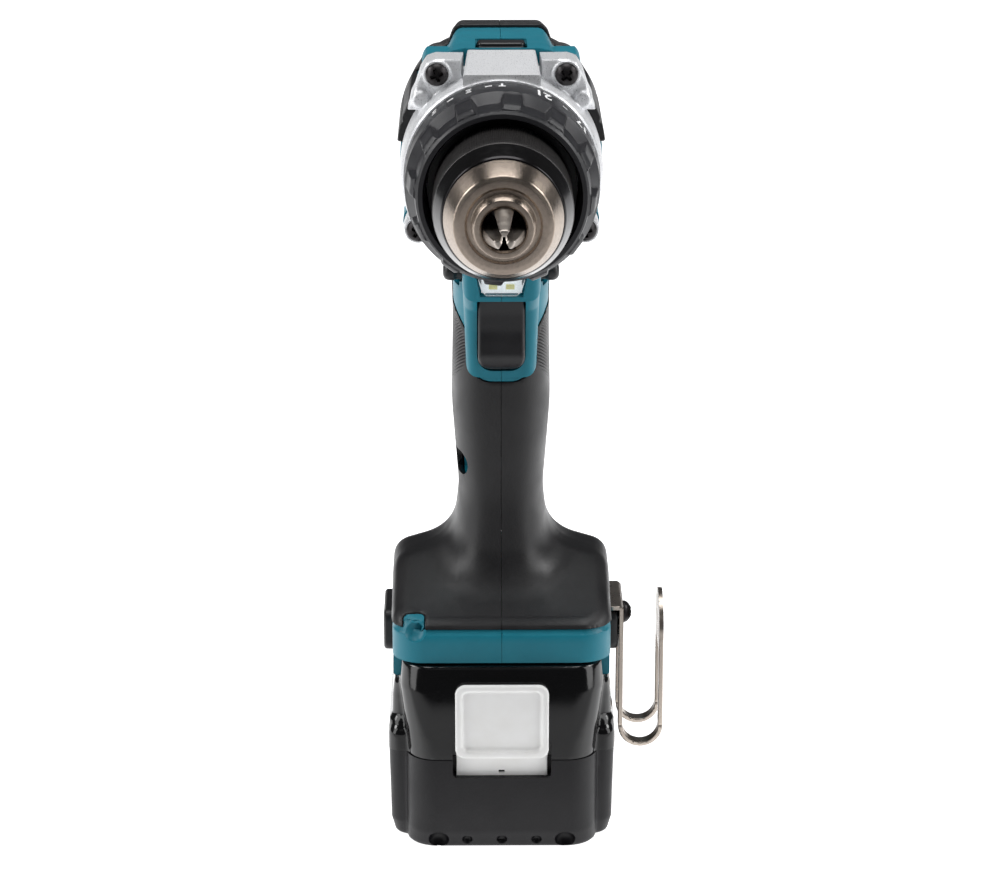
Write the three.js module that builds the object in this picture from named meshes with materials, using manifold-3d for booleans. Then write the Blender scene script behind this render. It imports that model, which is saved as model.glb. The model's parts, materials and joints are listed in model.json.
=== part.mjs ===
// A cordless combi drill with its slide-on battery, in millimetres, +Z up.
// The origin is the middle of the battery's flat base, the chuck points along -Y and the belt hook is on +X.

import * as THREE from "three";
import { mergeVertices } from "three/addons/utils/BufferGeometryUtils.js";
import Module from "manifold-3d";

const wasm = await Module();
wasm.setup();

// ---- driving dimensions ----

const GAP = 0.3; // between neighbouring pieces
const DATUM_HEIGHT = 5.5; // heights below count from a level this far above the battery's base
const AXIS_HEIGHT = 222;
const NOSE_Y = -118.5; // flat nose of the chuck
const REAR_Y = 59.5; // back of the motor housing

const CASE_REAR_Y = -30; // joint between gear case and housing
const HEAD_FRONT_Y = CASE_REAR_Y + GAP;
const HEAD_HALF_WIDTH = 32.4;
const HEAD_WALL = 3.2;
const HUMP_HALF_WIDTH = 15.2; // flat top over the gearbox
const HUMP_TOP = 37; // above the axis
const RUBBER = 2; // overmoulded skin
const SHELL_WALL = 2.3;

const FOOT_BOTTOM = 58.4;
const FOOT_HALF_WIDTH = 36.4;
const FOOT_FRONT_Y = -52;
const FOOT_REAR_Y = 50;
const RIM_TOP = 70; // the bare rim under the rubber
const BOSS_FACE_X = 39.5; // side bosses for the belt hook

const BATTERY_HALF_WIDTH = 37.5;
const BATTERY_HALF_LENGTH = 57.5;
const BATTERY_BASE = -DATUM_HEIGHT;
const BATTERY_PARTING = 26.5;
const BATTERY_SHOULDER = 49.7;
const BATTERY_TOP = 58.1;
const PLATFORM_HALF_WIDTH = 28.2;
const BLOCK_REAR_Y = -40.3; // back of the battery's front block
const CELL_RADIUS = 9.3;
const CELL_PITCH = 18.5;
const LOWER_CELLS_Z = 6.2;
const BUTTON_HALF_WIDTH = 15.4;
const BUTTON_BOTTOM = 28.1; // of the raised pad
const BUTTON_TOP = 53.7;
const BUTTON_LIP = 21.4; // lowest that shows of the lip under the pad
const BUTTON_TRAVEL = 5;

const JAW_COUNT = 3;
const JAW_RADIUS = 4.1;
const JAW_LENGTH = 36;
const JAW_TILT = THREE.MathUtils.degToRad(15.5);
const JAW_TIP_Y = -131.5;
const JAW_TIP_RADIUS = 3; // circle round the closed tips
const JAW_CLEARANCE = 0.25; // from each closed jaw to the middle planes
const SLEEVE_RADIUS = 21.5;
const SLEEVE_BORE = 19;

const MODULE = 1; // gear tooth size
const SUN_TEETH = 12;
const PLANET_TEETH = 12;
const RING_TEETH = 36;
const PLANET_ORBIT = (MODULE * (SUN_TEETH + PLANET_TEETH)) / 2;
const CASE_BORE = 22.3; // gear case round the ring gears

const TORQUE_RING_FRONT_Y = -78.2;
const TORQUE_RING_REAR_Y = -51.3;
const TORQUE_RING_RADIUS = 30.5;
const TORQUE_BLOCKS = 12;

const TRIGGER_HALF_WIDTH = 7.6;
const TRIGGER_BOTTOM = 152.5;
const TRIGGER_TOP = 177.8;
const LEVER_LOW = 180.7; // direction lever
const LEVER_HIGH = 186.7;

// ---- solids ----

// A closed geometry as a solid, with its faces turned outwards.
function solid(geometry) {
  const bare = new THREE.BufferGeometry();
  bare.setAttribute("position", geometry.getAttribute("position").clone());
  if (geometry.index) bare.setIndex(geometry.index.clone());
  const merged = mergeVertices(bare, 1e-4);
  const corners = merged.index.array;
  const triVerts = [];
  for (let i = 0; i < corners.length; i += 3) {
    const [a, b, c] = [corners[i], corners[i + 1], corners[i + 2]];
    if (a !== b && b !== c && c !== a) triVerts.push(a, b, c);
  }
  const vertProperties = new Float32Array(merged.getAttribute("position").array);
  const make = (order) =>
    new wasm.Manifold(new wasm.Mesh({ numProp: 3, vertProperties, triVerts: new Uint32Array(order) }));
  const made = make(triVerts);
  return made.volume() < 0 ? make(triVerts.reverse()) : made;
}

function join(...parts) {
  return parts.reduce((whole, part) => whole.add(part));
}

function cut(whole, ...tools) {
  return tools.reduce((rest, tool) => rest.subtract(tool), whole);
}

function box(x0, x1, y0, y1, z0, z1) {
  const shape = new THREE.BoxGeometry(x1 - x0, y1 - y0, z1 - z0);
  return solid(shape.translate((x0 + x1) / 2, (y0 + y1) / 2, (z0 + z1) / 2));
}

// A round bar from one point to another.
function rod(radius, from, to, segments = 12) {
  const start = new THREE.Vector3(...from);
  const along = new THREE.Vector3(...to).sub(start);
  const shape = new THREE.CylinderGeometry(radius, radius, along.length(), segments);
  const turn = new THREE.Quaternion().setFromUnitVectors(
    new THREE.Vector3(0, 1, 0),
    along.clone().normalize(),
  );
  const middle = start.addScaledVector(along, 0.5);
  return solid(shape.applyQuaternion(turn).translate(middle.x, middle.y, middle.z));
}

// A body turned about the Y axis from [radius, y] points.
function turned(profile, segments = 32) {
  const points = profile.map(([radius, y]) => new THREE.Vector2(radius, y));
  const onAxis = profile[0][0] === 0 && profile.at(-1)[0] === 0;
  if (!onAxis) points.push(points[0].clone());
  return solid(new THREE.LatheGeometry(points, segments));
}

function ring(inner, outer, y0, y1, segments = 24) {
  return turned([[inner, y0], [outer, y0], [outer, y1], [inner, y1]], segments);
}

function shapeOf(points) {
  return new THREE.Shape(points.map(([u, v]) => new THREE.Vector2(u, v)));
}

function extruded(shape, depth, curveSegments) {
  return new THREE.ExtrudeGeometry(shape, { depth, bevelEnabled: false, steps: 1, curveSegments });
}

// Extrusions of an outline: along X from (y, z), along Y from (x, z), along Z from (x, y).
function alongX(shape, x0, x1, curveSegments = 6) {
  const geometry = extruded(shape, x1 - x0, curveSegments);
  const basis = new THREE.Matrix4().makeBasis(
    new THREE.Vector3(0, 1, 0),
    new THREE.Vector3(0, 0, 1),
    new THREE.Vector3(1, 0, 0),
  );
  return solid(geometry.applyMatrix4(basis).translate(x0, 0, 0));
}

function alongY(shape, y0, y1, curveSegments = 6) {
  const geometry = extruded(shape, y1 - y0, curveSegments);
  const basis = new THREE.Matrix4().makeBasis(
    new THREE.Vector3(1, 0, 0),
    new THREE.Vector3(0, 0, 1),
    new THREE.Vector3(0, 1, 0),
  );
  return solid(geometry.applyMatrix4(basis).translate(0, y0, 0));
}

function alongZ(shape, z0, z1, curveSegments = 6) {
  return solid(extruded(shape, z1 - z0, curveSegments).translate(0, 0, z0));
}

function roundedRectangle(u0, u1, v0, v1, radius) {
  const quarter = Math.PI / 2;
  return new THREE.Shape()
    .absarc(u1 - radius, v1 - radius, radius, 0, quarter)
    .absarc(u0 + radius, v1 - radius, radius, quarter, 2 * quarter)
    .absarc(u0 + radius, v0 + radius, radius, 2 * quarter, 3 * quarter)
    .absarc(u1 - radius, v0 + radius, radius, 3 * quarter, 4 * quarter);
}

// A body skinned over rings of equally many points, with flat ends.
function skin(rings) {
  const count = rings[0].length;
  const last = (rings.length - 1) * count;
  const index = [];
  for (let row = 0; row < rings.length - 1; row++) {
    for (let i = 0; i < count; i++) {
      const a = row * count + i;
      const b = row * count + ((i + 1) % count);
      index.push(a, b, b + count, a, b + count, a + count);
    }
  }
  for (let i = 1; i < count - 1; i++) {
    index.push(0, i + 1, i, last, last + i, last + i + 1);
  }
  const geometry = new THREE.BufferGeometry();
  geometry.setAttribute("position", new THREE.Float32BufferAttribute(rings.flat(2), 3));
  geometry.setIndex(index);
  return solid(geometry);
}

// A rounded box outline: each point is [across, up], with its own reach to every side.
function squircle(half, up, down, power, count) {
  return Array.from({ length: count }, (_, i) => {
    const angle = (2 * Math.PI * (i + 0.5)) / count;
    const bend = (value) => Math.sign(value) * Math.abs(value) ** (2 / power);
    const rise = bend(Math.sin(angle));
    return [half * bend(Math.cos(angle)), rise * (rise > 0 ? up : down)];
  });
}

class Helix extends THREE.Curve {
  constructor(radius, y0, y1, turns) {
    super();
    Object.assign(this, { radius, y0, y1, turns });
  }

  getPoint(t, target = new THREE.Vector3()) {
    const angle = 2 * Math.PI * this.turns * t;
    const y = THREE.MathUtils.lerp(this.y0, this.y1, t);
    return target.set(this.radius * Math.sin(angle), y, this.radius * Math.cos(angle));
  }
}

function wire(curve, radius, steps, sides = 3) {
  const section = new THREE.Shape().absarc(0, 0, radius, 0, 2 * Math.PI);
  return solid(new THREE.ExtrudeGeometry(section, { extrudePath: curve, steps, curveSegments: sides }));
}

// Points round a wheel's teeth about the Y axis, outside it (sign 1) or inside a ring (sign -1).
// A shift of 0 has a tooth straight up, and 0.5 has a gap there.
function toothedOutline(teeth, sign, shift) {
  const pitchRadius = (MODULE * teeth) / 2;
  const tip = pitchRadius + sign * 0.75 * MODULE;
  const root = pitchRadius - sign * 1.1 * MODULE;
  const corners = [[-0.6, root], [-0.22, tip], [0.22, tip], [0.6, root]];
  const points = [];
  for (let tooth = 0; tooth < teeth; tooth++) {
    for (const [side, radius] of corners) {
      const angle = (2 * Math.PI * (tooth + shift)) / teeth + (side * Math.PI * MODULE) / 2 / radius;
      points.push([radius * Math.sin(angle), radius * Math.cos(angle)]);
    }
  }
  return points;
}

function spurGear(teeth, shift, bore, y0, y1) {
  const gear = alongY(shapeOf(toothedOutline(teeth, 1, shift)), y0, y1);
  return bore ? gear.subtract(rod(bore, [0, y0 - 1, 0], [0, y1 + 1, 0], 10)) : gear;
}

function ringGear(outer, y0, y1) {
  const blank = rod(outer, [0, y0, 0], [0, y1, 0], 24);
  return blank.subtract(alongY(shapeOf(toothedOutline(RING_TEETH, -1, 0.5)), y0 - 1, y1 + 1));
}

// A flat plate with three pins that carry planets towards +Y.
function carrierPlate(y0, y1, pinEnd) {
  let plate = rod(16.2, [0, y0, 0], [0, y1, 0], 24);
  for (let i = 0; i < 3; i++) {
    const [x, z] = orbit(i, PLANET_ORBIT);
    plate = plate.add(rod(1.8, [x, y1 - 1, z], [x, pinEnd, z], 8));
  }
  return plate;
}

function orbit(i, radius, count = 3) {
  const angle = (2 * Math.PI * i) / count;
  return [radius * Math.sin(angle), radius * Math.cos(angle)];
}

// A cross-recessed pan head screw with its head towards -Y.
function panScrew(headRadius, headHeight, shaftRadius, shaftLength) {
  const profile = [
    [0, -headHeight],
    [headRadius * 0.7, -headHeight],
    [headRadius, -headHeight * 0.5],
    [headRadius, 0],
    [shaftRadius, 0],
    [shaftRadius, shaftLength],
    [0, shaftLength],
  ];
  const arm = headRadius * 0.6;
  const slot = headRadius * 0.13;
  return cut(
    turned(profile, 10),
    box(-arm, arm, -headHeight - 1, -headHeight * 0.45, -slot, slot),
    box(-slot, slot, -headHeight - 1, -headHeight * 0.45, -arm, arm),
  );
}

// ---- the group ----

const drill = new THREE.Group();
const assembly = new THREE.Group();
assembly.position.z = DATUM_HEIGHT;
drill.add(assembly);
const spindleLine = new THREE.Group(); // everything centred on the spindle axis
spindleLine.position.z = AXIS_HEIGHT;
assembly.add(spindleLine);

const finishes = {
  teal: [0x2f8ba5, 0.45, 0],
  rubber: [0x3a393c, 0.85, 0],
  castAluminium: [0xc4c6c8, 0.42, 0.85],
  blackPlastic: [0x232326, 0.55, 0],
  charcoalPlastic: [0x303033, 0.6, 0],
  blackSteel: [0x1d1c1e, 0.4, 0.8],
  brushedSteel: [0x968c82, 0.35, 1],
  brightSteel: [0xc6c4c0, 0.28, 1],
  gearSteel: [0x8d8f92, 0.4, 1],
  nickel: [0xcfcdc6, 0.18, 1],
  copper: [0xb06a3a, 0.4, 0.9],
  brass: [0xb8964a, 0.4, 0.9],
  clearLens: [0xe4ebee, 0.08, 0],
  ledBoard: [0xe8dc90, 0.4, 0],
  circuitBoard: [0x1f5c3a, 0.6, 0],
  batteryGloss: [0x0b0b0d, 0.12, 0],
  batteryMatt: [0x2b2a2e, 0.6, 0],
  buttonWhite: [0xeeeeec, 0.4, 0],
  cellWrap: [0x2c6aa0, 0.5, 0],
};

function place(name, body, finish, parent = assembly) {
  const mesh = body.getMesh();
  const geometry = new THREE.BufferGeometry();
  geometry.setAttribute("position", new THREE.BufferAttribute(new Float32Array(mesh.vertProperties), 3));
  geometry.setIndex(new THREE.BufferAttribute(new Uint32Array(mesh.triVerts), 1));
  geometry.computeVertexNormals();
  const [color, roughness, metalness] = finishes[finish];
  const piece = new THREE.Mesh(geometry, new THREE.MeshStandardMaterial({ color, roughness, metalness }));
  piece.name = name;
  parent.add(piece);
  return piece;
}

// ---- chuck ----

const jawLean = Math.tan(JAW_TILT);
const jawOuter = (y) => JAW_TIP_RADIUS + (y - JAW_TIP_Y) * jawLean;
const jawCentre = (y) => jawOuter(y) - JAW_RADIUS / Math.cos(JAW_TILT);

// The jaw's bar, or the hole that it runs in, leaning back and out at twelve o'clock.
function jawBar(radius, y0, y1) {
  return rod(radius, [0, y0, jawCentre(y0)], [0, y1, jawCentre(y1)], 16);
}

function turnedAbout(body, i, count) {
  return body.rotate([0, (360 * i) / count, 0]);
}

function chuckBody() {
  const profile = [
    [6.6, -91],
    [6.6, NOSE_Y + 0.8],
    [7.4, NOSE_Y],
    [8.8, NOSE_Y],
    [9.5, NOSE_Y + 1.6],
    [9.7, NOSE_Y + 4.8],
    [11.2, NOSE_Y + 4.8],
    [11.6, NOSE_Y + 4.4],
    [15, NOSE_Y + 4.4],
    [18.35, NOSE_Y + 13.2],
    [14.2, NOSE_Y + 13.4],
    [14.2, -103.1],
    [10.8, -103.1],
    [12.5, -96.5],
    [16.2, -96.5],
    [16.2, -76],
    [12, -76],
    [12, -71.5],
    [6.65, -71.5],
    [6.65, -91],
  ];
  let body = turned(profile, 30);
  for (let i = 0; i < JAW_COUNT; i++) {
    body = body.subtract(turnedAbout(jawBar(JAW_RADIUS + GAP, JAW_TIP_Y, -70), i, JAW_COUNT));
  }
  return body;
}

function chuckSleeve() {
  return turned(
    [
      [14.6, NOSE_Y + 13.9],
      [18.6, NOSE_Y + 13.9],
      [19.1, NOSE_Y + 15],
      [SLEEVE_RADIUS, NOSE_Y + 21.6],
      [SLEEVE_RADIUS, -70.6],
      [SLEEVE_RADIUS - 0.6, -70],
      [SLEEVE_BORE, -70],
      [SLEEVE_BORE, -103.2],
      [14.6, -103.2],
    ],
    30,
  );
}

function chuckNut() {
  const front = -102.8;
  const back = -96.8;
  const clear = 0.45;
  return turned([
    [jawOuter(front) + clear, front],
    [SLEEVE_BORE - GAP, front],
    [SLEEVE_BORE - GAP, back],
    [jawOuter(back) + clear, back],
  ]);
}

// Ground to a third of the circle, so that three closed jaws meet on the axis.
function jaw() {
  const end = JAW_TIP_Y + JAW_LENGTH * Math.cos(JAW_TILT);
  const bar = jawBar(JAW_RADIUS, JAW_TIP_Y - 4, end);
  const tip = box(-10, 10, JAW_TIP_Y - 9, JAW_TIP_Y, -10, 10);
  const wide = 30;
  const edge = JAW_CLEARANCE + wide / Math.sqrt(3);
  const sector = shapeOf([[0, JAW_CLEARANCE], [wide, edge], [wide, 40], [-wide, 40], [-wide, edge]]);
  return bar.subtract(tip).intersect(alongY(sector, JAW_TIP_Y - 5, end + 5));
}

place("chuck_body", chuckBody(), "brushedSteel", spindleLine);
place("chuck_sleeve", chuckSleeve(), "blackSteel", spindleLine);
place("chuck_nut", chuckNut(), "gearSteel", spindleLine);
for (let i = 0; i < JAW_COUNT; i++) {
  place(`jaw_${i + 1}`, jaw(), "brightSteel", spindleLine).rotation.y = (2 * Math.PI * i) / JAW_COUNT;
}

const chuckScrew = turned(
  [[0, -90.3], [4, -90.3], [5, -89.6], [5, -88.3], [2.75, -88.3], [2.75, -67], [0, -67]],
  20,
);
place("chuck_screw", chuckScrew, "gearSteel", spindleLine);

// ---- spindle and gear train ----

const spindle = turned([
  [0, -66],
  [3.05, -66],
  [3.05, -88],
  [6.35, -88],
  [6.35, -71.2],
  [8, -71.2],
  [8, -46],
  [5.7, -46],
  [5.7, -38],
  [0, -38],
], 20);
place("spindle", spindle, "gearSteel", spindleLine);

function outputCarrier() {
  const hub = rod(8.6, [0, -45.7, 0], [0, -39, 0], 24);
  const bore = rod(6, [0, -46, 0], [0, -37.5, 0], 20);
  return cut(join(carrierPlate(-39.5, -36.5, -27), hub), bore);
}

place("output_carrier", outputCarrier(), "gearSteel", spindleLine);
place("spindle_bearing", ring(8.3, 12.7, -66, -57.3, 28), "gearSteel", spindleLine);
place("ring_gear", ringGear(21.9, -44.3, -26), "gearSteel", spindleLine);

const firstCarrier = join(carrierPlate(-22.8, -19.8, -10.6), spurGear(SUN_TEETH, 0.5, 0, -35.6, -22));
place("first_carrier", firstCarrier, "gearSteel", spindleLine);

for (let i = 0; i < 3; i++) {
  for (const [stage, y0, y1] of [["first", -19.2, -11], ["output", -35.6, -27.4]]) {
    const gear = spurGear(PLANET_TEETH, 0, 2.1, y0, y1);
    const planet = place(`${stage}_planet_${i + 1}`, gear, "gearSteel", spindleLine);
    const [x, z] = orbit(i, PLANET_ORBIT);
    planet.position.set(x, 0, z);
    planet.rotation.y = (2 * Math.PI * i) / 3;
  }
}

const shiftGroove = ring(20.4, 30, -17, -13, 20);
place("shift_ring_gear", ringGear(21.7, -19.2, -11).subtract(shiftGroove), "gearSteel", spindleLine);

place("pinion", spurGear(SUN_TEETH, 0.5, 2.8, -19.3, -9.4), "gearSteel", spindleLine);

function rotor() {
  const shaft = rod(2.5, [0, -19.3, 0], [0, 48, 0], 12);
  const magnets = rod(12.2, [0, 2, 0], [0, 26, 0], 24);
  return join(shaft, magnets);
}

place("rotor", rotor(), "gearSteel", spindleLine);
place("rotor_bearing_front", ring(2.8, 6.5, -7.2, -3, 20), "gearSteel", spindleLine);
place("rotor_bearing_rear", ring(2.8, 6.5, 43, 47, 20), "gearSteel", spindleLine);

function stator() {
  const outer = ring(21.5, 25, 2, 26);
  const teeth = Array.from({ length: 6 }, (_, i) => {
    const tooth = join(box(-4.5, 4.5, 4, 24, 12, 22), box(-5.5, 5.5, 0, 28, 16, 20.5));
    return turnedAbout(tooth, i, 6);
  });
  return join(outer, ...teeth).subtract(rod(12.9, [0, -5, 0], [0, 40, 0], 24));
}

place("stator", stator(), "copper", spindleLine);

function fan() {
  const hub = ring(2.8, 6, 30, 38, 12);
  const disc = ring(5, 22.5, 30, 31.2);
  const blades = Array.from({ length: 7 }, (_, i) =>
    turnedAbout(box(-0.6, 0.6, 31, 37, 9, 22).rotate([0, 18, 0]), i, 7),
  );
  return cut(join(hub, disc, ...blades), rod(2.8, [0, 29, 0], [0, 40, 0], 12));
}

place("fan", fan(), "blackPlastic", spindleLine);

// ---- gear case, clutch and torque ring ----

const UPPER_LUG = [20.4, 31.3];
const LOWER_LUG = [26.7, -19];
const LUG_RADIUS = 4.9;
const LUG_FRONT_Y = -43;
const CLUTCH_PIN_ORBIT = 18.7;
const BELL_FRONT_Y = TORQUE_RING_REAR_Y + GAP;
const BELL_RADIUS = 31;

function lugPositions() {
  const [ux, uz] = UPPER_LUG;
  const [lx, lz] = LOWER_LUG;
  return [[-ux, uz], [ux, uz], [lx, lz], [-lx, lz]];
}

function gearCase() {
  const bell = turned([
    [14.5, -69],
    [14.5, -49.3],
    [23, -49.3],
    [23, BELL_FRONT_Y],
    [BELL_RADIUS, BELL_FRONT_Y],
    [BELL_RADIUS + 1, -47],
    [BELL_RADIUS + 1, CASE_REAR_Y],
    [24.6, CASE_REAR_Y],
    [24.6, -8],
    [CASE_BORE, -8],
    [CASE_BORE, -46.3],
    [9.5, -46.3],
    [9.5, -57],
    [13, -57],
    [13, -69],
  ], 28);
  const lugs = lugPositions().map(([x, z]) => rod(LUG_RADIUS, [x, LUG_FRONT_Y, z], [x, CASE_REAR_Y, z], 12));
  const corners = lugPositions().map(([x, z]) => [x * 0.99, z]);
  const flange = alongY(shapeOf(corners), LUG_FRONT_Y + 2, CASE_REAR_Y);
  const topPlate = skin([
    squircle(11, HUMP_TOP, 0, 8, 12).map(([x, z]) => [x, CASE_REAR_Y, z]),
    squircle(12.4, 32.8, 0, 8, 12).map(([x, z]) => [x, BELL_FRONT_Y + 0.5, z]),
  ]);
  const hollow = rod(28, [0, -60, 0], [0, -20, 0], 24);
  const outside = cut(join(flange, topPlate, ...lugs), hollow);
  const holes = lugPositions().map(([x, z]) => rod(2.5, [x, -50, z], [x, -20, z], 8));
  const headHoles = lugPositions().map(([x, z]) => rod(4.3, [x, -56, z], [x, LUG_FRONT_Y, z], 12));
  const pinHoles = Array.from({ length: 6 }, (_, i) => {
    const [x, z] = orbit(i, CLUTCH_PIN_ORBIT, 6);
    return rod(2, [x, -51, z], [x, -45, z], 8);
  });
  const slots = box(-26, 26, -23, -13, -2, 2);
  return cut(join(bell, outside), ...holes, ...headHoles, ...pinHoles, slots);
}

place("gear_case", gearCase(), "castAluminium", spindleLine);
lugPositions().forEach(([x, z], i) => {
  const screw = place(`gear_case_screw_${i + 1}`, panScrew(3.7, 2.6, 2.1, 20), "blackSteel", spindleLine);
  screw.position.set(x, LUG_FRONT_Y - GAP, z);
  screw.rotation.y = 0.4 + i;
});

const clutchSpring = new Helix(CLUTCH_PIN_ORBIT, -59.6, -52.9, 2.5);
place("clutch_spring", wire(clutchSpring, 1.1, 28), "gearSteel", spindleLine);

function thrustRing() {
  const pins = Array.from({ length: 6 }, (_, i) => {
    const [x, z] = orbit(i, CLUTCH_PIN_ORBIT, 6);
    return rod(1.6, [x, -50.5, z], [x, -44.8, z], 6);
  });
  return join(ring(15.2, 22.5, -51.2, -49.7), ...pins);
}

place("clutch_thrust_ring", thrustRing(), "gearSteel", spindleLine);
place("torque_nut", ring(14.9, 23.5, -66, -61.4), "blackPlastic", spindleLine);

function torqueRing() {
  const body = turned([
    [24.6, TORQUE_RING_FRONT_Y],
    [26.3, TORQUE_RING_FRONT_Y],
    [27.2, -76.5],
    [28, -67],
    [29.8, -64],
    [TORQUE_RING_RADIUS, -61],
    [TORQUE_RING_RADIUS, TORQUE_RING_REAR_Y],
    [23.9, TORQUE_RING_REAR_Y],
    [23.9, -75],
  ], 36);
  const block = skin([
    [[-2.6, -77, 25.5], [2.6, -77, 25.5], [2.3, -76.2, 28.6], [-2.3, -76.2, 28.6]],
    [[-3.4, -64.5, 25.5], [3.4, -64.5, 25.5], [3, -64.5, 30.2], [-3, -64.5, 30.2]],
  ]);
  const blocks = Array.from({ length: TORQUE_BLOCKS }, (_, i) =>
    turnedAbout(block.rotate([0, 6, 0]), i, TORQUE_BLOCKS),
  );
  return join(body, ...blocks);
}

place("torque_ring", torqueRing(), "blackPlastic", spindleLine);

// ---- speed selector ----

const SHIFT_Y = -15;
const WIRE_ORBIT = 26.1;

// A flat half hoop over the gear case, with a finger at each end in the ring gear's groove.
function shiftWire() {
  const [front, back] = [SHIFT_Y - 1, SHIFT_Y + 1];
  const below = box(-40, 40, front - 1, back + 1, -40, -1.5);
  const hoop = ring(WIRE_ORBIT - 0.9, WIRE_ORBIT + 0.9, front, back, 28).subtract(below);
  const finger = box(20.9, WIRE_ORBIT, front, back, -1.5, 1.2);
  const post = box(-1.5, 1.5, front, back, WIRE_ORBIT, WIRE_ORBIT + 1.5);
  return join(hoop, finger, finger.mirror([1, 0, 0]), post);
}

place("shift_wire", shiftWire(), "gearSteel", spindleLine);

function speedLever() {
  const plate = box(-11, 11, -23.5, -3, 28, 30);
  const neck = box(-7.6, 7.6, -22, -9, 29.5, 35.4);
  const ridge = skin([
    squircle(7.6, 3, 3, 6, 12).map(([x, y]) => [x, -17 + y, 35]),
    squircle(7, 2, 2, 6, 12).map(([x, y]) => [x, -17 + y, 36.8]),
  ]);
  return join(plate, neck, ridge);
}

place("speed_lever", speedLever(), "blackPlastic", spindleLine);

// ---- motor housing, handle and foot ----

// Half width, and reach above and below the axis, of the motor housing along its length.
const headStations = [
  [HEAD_FRONT_Y, HEAD_HALF_WIDTH, 31, 33],
  [18, HEAD_HALF_WIDTH, 30, 33],
  [44, 30.5, 28, 30],
  [55, 27, 25, 26],
  [REAR_Y, 22, 20, 21],
];

function head(inset) {
  return skin(
    headStations.map(([y, half, up, down], i) => {
      const end = i === 0 ? y - (inset > 0 ? 12 : 0) : i === headStations.length - 1 ? y - inset : y;
      const outline = squircle(half - inset, up - inset, down - inset, 2.5, 24);
      return outline.map(([x, z]) => [x, end, AXIS_HEIGHT + z]);
    }),
  );
}

// Half width and height of the flat hump, and the height of the shoulders beside it.
const humpStations = [
  [HEAD_FRONT_Y, HUMP_HALF_WIDTH, HUMP_TOP, 34.4],
  [18, 14.6, 34.4, 28.6],
  [44, 13.2, 31.2, 24.5],
  [56, 10, 25.5, 20],
];

function hump(inset) {
  return skin(
    humpStations.map(([y, half, top, shoulder], i) => {
      const end = i === 0 ? y - (inset > 0 ? 12 : 0) : y - inset;
      const right = [[28.5, 12], [24.6, shoulder - 2], [half + 2.4, shoulder], [half, top]];
      const outline = [...right, ...right.map(([x, z]) => [-x, z]).reverse()];
      const shrink = i === humpStations.length - 1 ? 0.75 : 1;
      return outline.map(([x, z]) => [
        (x - Math.sign(x) * inset) * shrink,
        end,
        AXIS_HEIGHT + z - (z > 12 ? inset : 0),
      ]);
    }),
  );
}

// Half width, front and back of the handle at each height.
const handleStations = [
  [66, 20, -33, 24],
  [90, 16, -29.5, 18],
  [107, 14, -27.5, 13.5],
  [122, 15.2, -28.2, 12.5],
  [138, 16.4, -29, 12.5],
  [165, 15.9, -29.5, 13],
  [200, 17, -29, 29],
];

function handle(inset) {
  return skin(
    handleStations.map(([z, half, front, back]) => {
      const depth = (back - front) / 2 - inset;
      const middle = (front + back) / 2;
      return squircle(half - inset, depth, depth, 2.7, 16).map(([x, y]) => [x, middle + y, z]);
    }),
  );
}

// The foot's side view, cut to its rounded plan.
function foot(inset) {
  const side = shapeOf([
    [FOOT_FRONT_Y - 5, FOOT_BOTTOM],
    [FOOT_REAR_Y + 5, FOOT_BOTTOM],
    [FOOT_REAR_Y + 5, 66 - inset],
    [42, 70 - inset],
    [20, 77.4 - inset],
    [4, 84 - inset],
    [-14, 84 - inset],
    [-40, 76.5 - inset],
    [FOOT_FRONT_Y, 71.2 - inset],
    [FOOT_FRONT_Y - 5, 70 - inset],
  ]);
  const plan = roundedRectangle(
    -FOOT_HALF_WIDTH + inset,
    FOOT_HALF_WIDTH - inset,
    FOOT_FRONT_Y + inset,
    FOOT_REAR_Y - inset,
    11 - inset,
  );
  return alongX(side, -50, 50).intersect(alongZ(plan, FOOT_BOTTOM - 20, 100, 2));
}

const BOSS_Y = -8; // screw hole of the side bosses
const BOSS_Z = 60.5;
const BOSS_BOTTOM = 51;
const BOSS_TOP = 65.2;
const BOSS_HALF_LENGTH = 13;
const SKIRT_HALF_WIDTH = 34.1; // the foot's side walls, under the rubber

// Raised rubber pads on the foot's sides, down over its side walls.
function bosses() {
  const front = BOSS_Y - BOSS_HALF_LENGTH;
  const back = BOSS_Y + BOSS_HALF_LENGTH;
  const pads = alongX(roundedRectangle(front, back, BOSS_BOTTOM, BOSS_TOP, 3), -BOSS_FACE_X, BOSS_FACE_X, 2);
  const reach = SKIRT_HALF_WIDTH + GAP;
  return pads.subtract(box(-reach, reach, front - 1, back + 1, 40, FOOT_BOTTOM));
}

// The lamp's chin under the gear case.
function chin() {
  const side = shapeOf([
    [-24, 150],
    [-29.5, 150],
    [-31.5, 172],
    [-36, 178],
    [-42, 180.5],
    [-42.5, 189.4],
    [-24, 189.4],
  ]);
  const front = shapeOf([[-9, 150], [9, 150], [11.5, 178], [12, 190], [-12, 190], [-11.5, 178]]);
  return alongX(side, -20, 20).intersect(alongY(front, -60, 0));
}

// The side view of what the grip's rubber covers, with a tongue down each side of the foot.
function gripZone(grow) {
  const tongue = BOSS_HALF_LENGTH + 1 + grow;
  const outline = shapeOf([
    [BOSS_Y - tongue, RIM_TOP - grow],
    [-70, RIM_TOP - grow],
    [-70, 147 + grow],
    [-24 - grow, 147 + grow],
    [-24 - grow, 172 + grow],
    [-5, 179 + grow],
    [12, 190 + grow],
    [80, 194 + grow],
    [80, RIM_TOP - grow],
    [BOSS_Y + tongue, RIM_TOP - grow],
    [BOSS_Y + tongue, 40],
    [BOSS_Y - tongue, 40],
  ]);
  return alongX(outline, -60, 60);
}

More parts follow.
